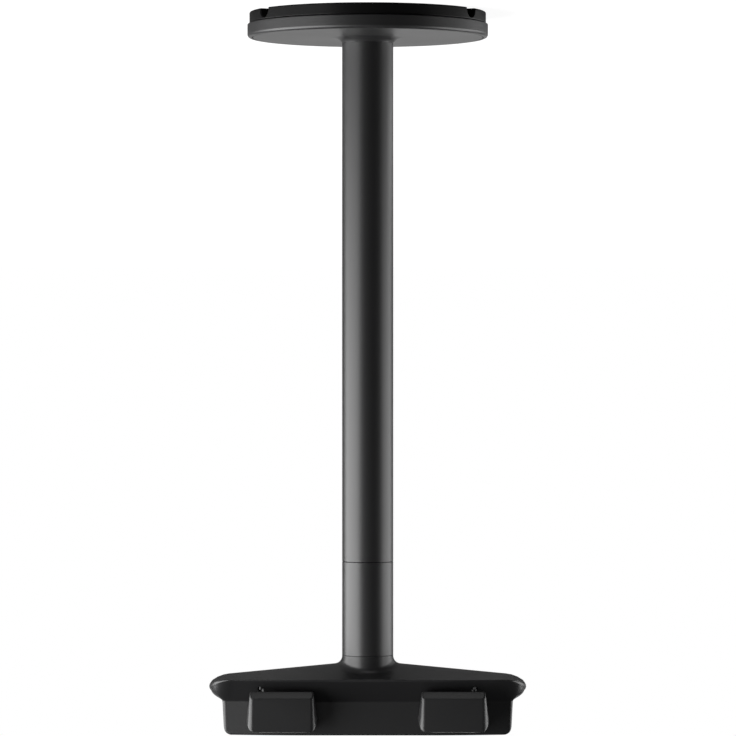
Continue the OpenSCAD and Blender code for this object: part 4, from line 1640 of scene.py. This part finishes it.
@dataclass
class Studio:
    """Camera, lamps, pale floor and backdrop. Lengths here are in metres."""

    camera_distance: float = 1.589
    camera_side: float = -0.00012
    camera_height: float = 0.1389
    lens: float = 198.8
    sensor: float = 36.0
    clip: tuple[float, float] = (0.05, 50.0)
    dim_world: float = 0.04
    floor_size: float = 8.0
    glow_reach: tuple[float, float] = (0.25, 0.9)
    glow: tuple[float, float] = (0.90, 1.02)
    albedo_reach: tuple[float, float] = (-0.1, 0.2)
    albedo: tuple[float, float] = (0.02, 0.32)
    shadow: float = 0.2
    backdrop_y: float = 3.2
    backdrop_low: float = 0.16
    backdrop_size: tuple[float, float] = (2.6, 1.9)
    softboxes: tuple[Softbox, ...] = (
        Softbox(
            "key", azimuth_deg=77.0, distance=0.75, width=1.30, low=0.06, high=0.85, radiance=6.5,
        ),
        Softbox(
            "fill", azimuth_deg=-99.0, distance=0.85, width=1.05, low=0.055, high=0.80, radiance=3.25,
        ),
        Softbox(
            "low fill", azimuth_deg=-122.0, distance=0.48, width=0.34, low=0.0, high=0.035, radiance=3.8,
        ),
        Softbox(
            "front", azimuth_deg=10.0, distance=1.30, width=0.80, low=0.24, high=0.80, radiance=0.30,
        ),
        Softbox(
            "hook glow", azimuth_deg=0.0, distance=0.15, width=0.26, low=-0.02, high=0.08, radiance=0.10,
            tilt_deg=64.0, spread_deg=40.0,
        ),
    )

    def build(self) -> None:
        """Sets up the whole studio."""
        self._camera()
        self._world()
        half = self.floor_size / 2
        floor = self._sheet(
            "floor", [(-half, -half, 0), (half, -half, 0), (half, half, 0), (-half, half, 0)]
        )
        half, high = self.backdrop_size[0] / 2, self.backdrop_size[1]
        low, y = self.backdrop_low, self.backdrop_y
        backdrop = self._sheet(
            "backdrop", [(-half, y, low), (half, y, low), (half, y, high), (-half, y, high)]
        )
        floor.data.materials.append(self._floor_material())
        backdrop.data.materials.append(self._backdrop_material())
        for softbox in self.softboxes:
            softbox.build()
            LOG.info("softbox %s", softbox.name)

    def _camera(self) -> None:
        """Places the camera level with the column's middle, rolled half a turn."""
        camera = bpy.data.cameras.new("camera")
        camera.lens, camera.sensor_width = self.lens, self.sensor
        camera.clip_start, camera.clip_end = self.clip
        held = bpy.data.objects.new("camera", camera)
        held.location = (self.camera_side, -self.camera_distance, self.camera_height)
        level, rolled = Matrix.Rotation(math.pi / 2, 3, "X"), Matrix.Rotation(math.pi, 3, "Z")
        held.rotation_euler = (level @ rolled).to_euler()
        bpy.context.scene.collection.objects.link(held)
        bpy.context.scene.camera = held

    def _world(self) -> None:
        """A dim even world that the camera sees as white."""
        world = bpy.data.worlds.new("studio")
        world.use_nodes = True
        tree = world.node_tree
        tree.nodes.clear()
        ray = add_shader_node(tree, "LightPath").outputs["Is Camera Ray"]
        dim = add_shader_node(tree, "Background", {"Color": (1, 1, 1, 1), "Strength": self.dim_world})
        white = add_shader_node(tree, "Background", {"Color": (1, 1, 1, 1), "Strength": 1.0})
        mixed = add_shader_node(tree, "MixShader", {0: ray, 1: dim.outputs[0], 2: white.outputs[0]})
        add_shader_node(tree, "OutputWorld", {0: mixed.outputs[0]})
        bpy.context.scene.world = world

    @staticmethod
    def _sheet(name: str, corners: list[tuple[float, float, float]]) -> bpy.types.Object:
        """A flat sheet of the studio.

        Args:
            name: Name of the sheet.
            corners: Its four corners, once round.

        Returns:
            The sheet, linked to the scene.
        """
        mesh = bpy.data.meshes.new(name)
        mesh.from_pydata(corners, [], [(0, 1, 2, 3)])
        sheet = bpy.data.objects.new(name, mesh)
        bpy.context.scene.collection.objects.link(sheet)
        return sheet

    def _floor_material(self) -> bpy.types.Material:
        """A pale matt floor: it glows to the camera, keeps the stand's shadow and is dim in front."""
        material, tree = self._empty_material("pale floor")
        place = add_shader_node(tree, "TexCoord").outputs["Object"]
        reach = add_shader_node(tree, "VectorMath", {0: place}, operation="LENGTH").outputs["Value"]
        glow = add_ramp(tree, reach, self.glow_reach, self.glow)
        depth = add_shader_node(tree, "SeparateXYZ", {0: place}).outputs["Y"]
        albedo = add_ramp(tree, depth, self.albedo_reach, self.albedo)
        matt = add_shader_node(tree, "BsdfDiffuse", {"Color": albedo})
        thin = add_shader_node(tree, "BsdfDiffuse", {"Color": (self.shadow, self.shadow, self.shadow, 1)})
        white = add_shader_node(tree, "Emission", {"Strength": glow})
        shown = add_shader_node(tree, "AddShader", {0: thin.outputs[0], 1: white.outputs[0]})
        seen = add_shader_node(tree, "LightPath").outputs["Is Camera Ray"]
        mixed = add_shader_node(tree, "MixShader", {0: seen, 1: matt.outputs[0], 2: shown.outputs[0]})
        add_shader_node(tree, "OutputMaterial", {0: mixed.outputs[0]})
        return material

    def _backdrop_material(self) -> bpy.types.Material:
        """A white backdrop that the camera and reflections see, and that is pale to other rays."""
        material, tree = self._empty_material("pale backdrop")
        path = add_shader_node(tree, "LightPath").outputs
        seen = add_shader_maths(tree, "MAXIMUM", path["Is Camera Ray"], path["Is Glossy Ray"])
        seen = add_shader_maths(tree, "MAXIMUM", seen, path["Is Transmission Ray"])
        matt = add_shader_node(tree, "BsdfDiffuse")
        white = add_shader_node(tree, "Emission")
        mixed = add_shader_node(tree, "MixShader", {0: seen, 1: matt.outputs[0], 2: white.outputs[0]})
        add_shader_node(tree, "OutputMaterial", {0: mixed.outputs[0]})
        return material

    @staticmethod
    def _empty_material(name: str) -> tuple[bpy.types.Material, bpy.types.NodeTree]:
        """A material without nodes, and its tree."""
        material = bpy.data.materials.new(name)
        material.use_nodes = True
        material.node_tree.nodes.clear()
        return material, material.node_tree


def main() -> None:
    """Builds the studio and the stand."""
    logging.basicConfig(level=logging.INFO, format="%(name)s: %(message)s")
    bpy.context.scene.view_settings.view_transform = "Standard"
    Studio().build()
    trees = Trees()
    wardrobe = Wardrobe()
    for assembly in (BaseAssembly(), ColumnAssembly(), HeadAssembly()):
        assembly.build(trees, wardrobe)


if __name__ == "__main__":
    main()
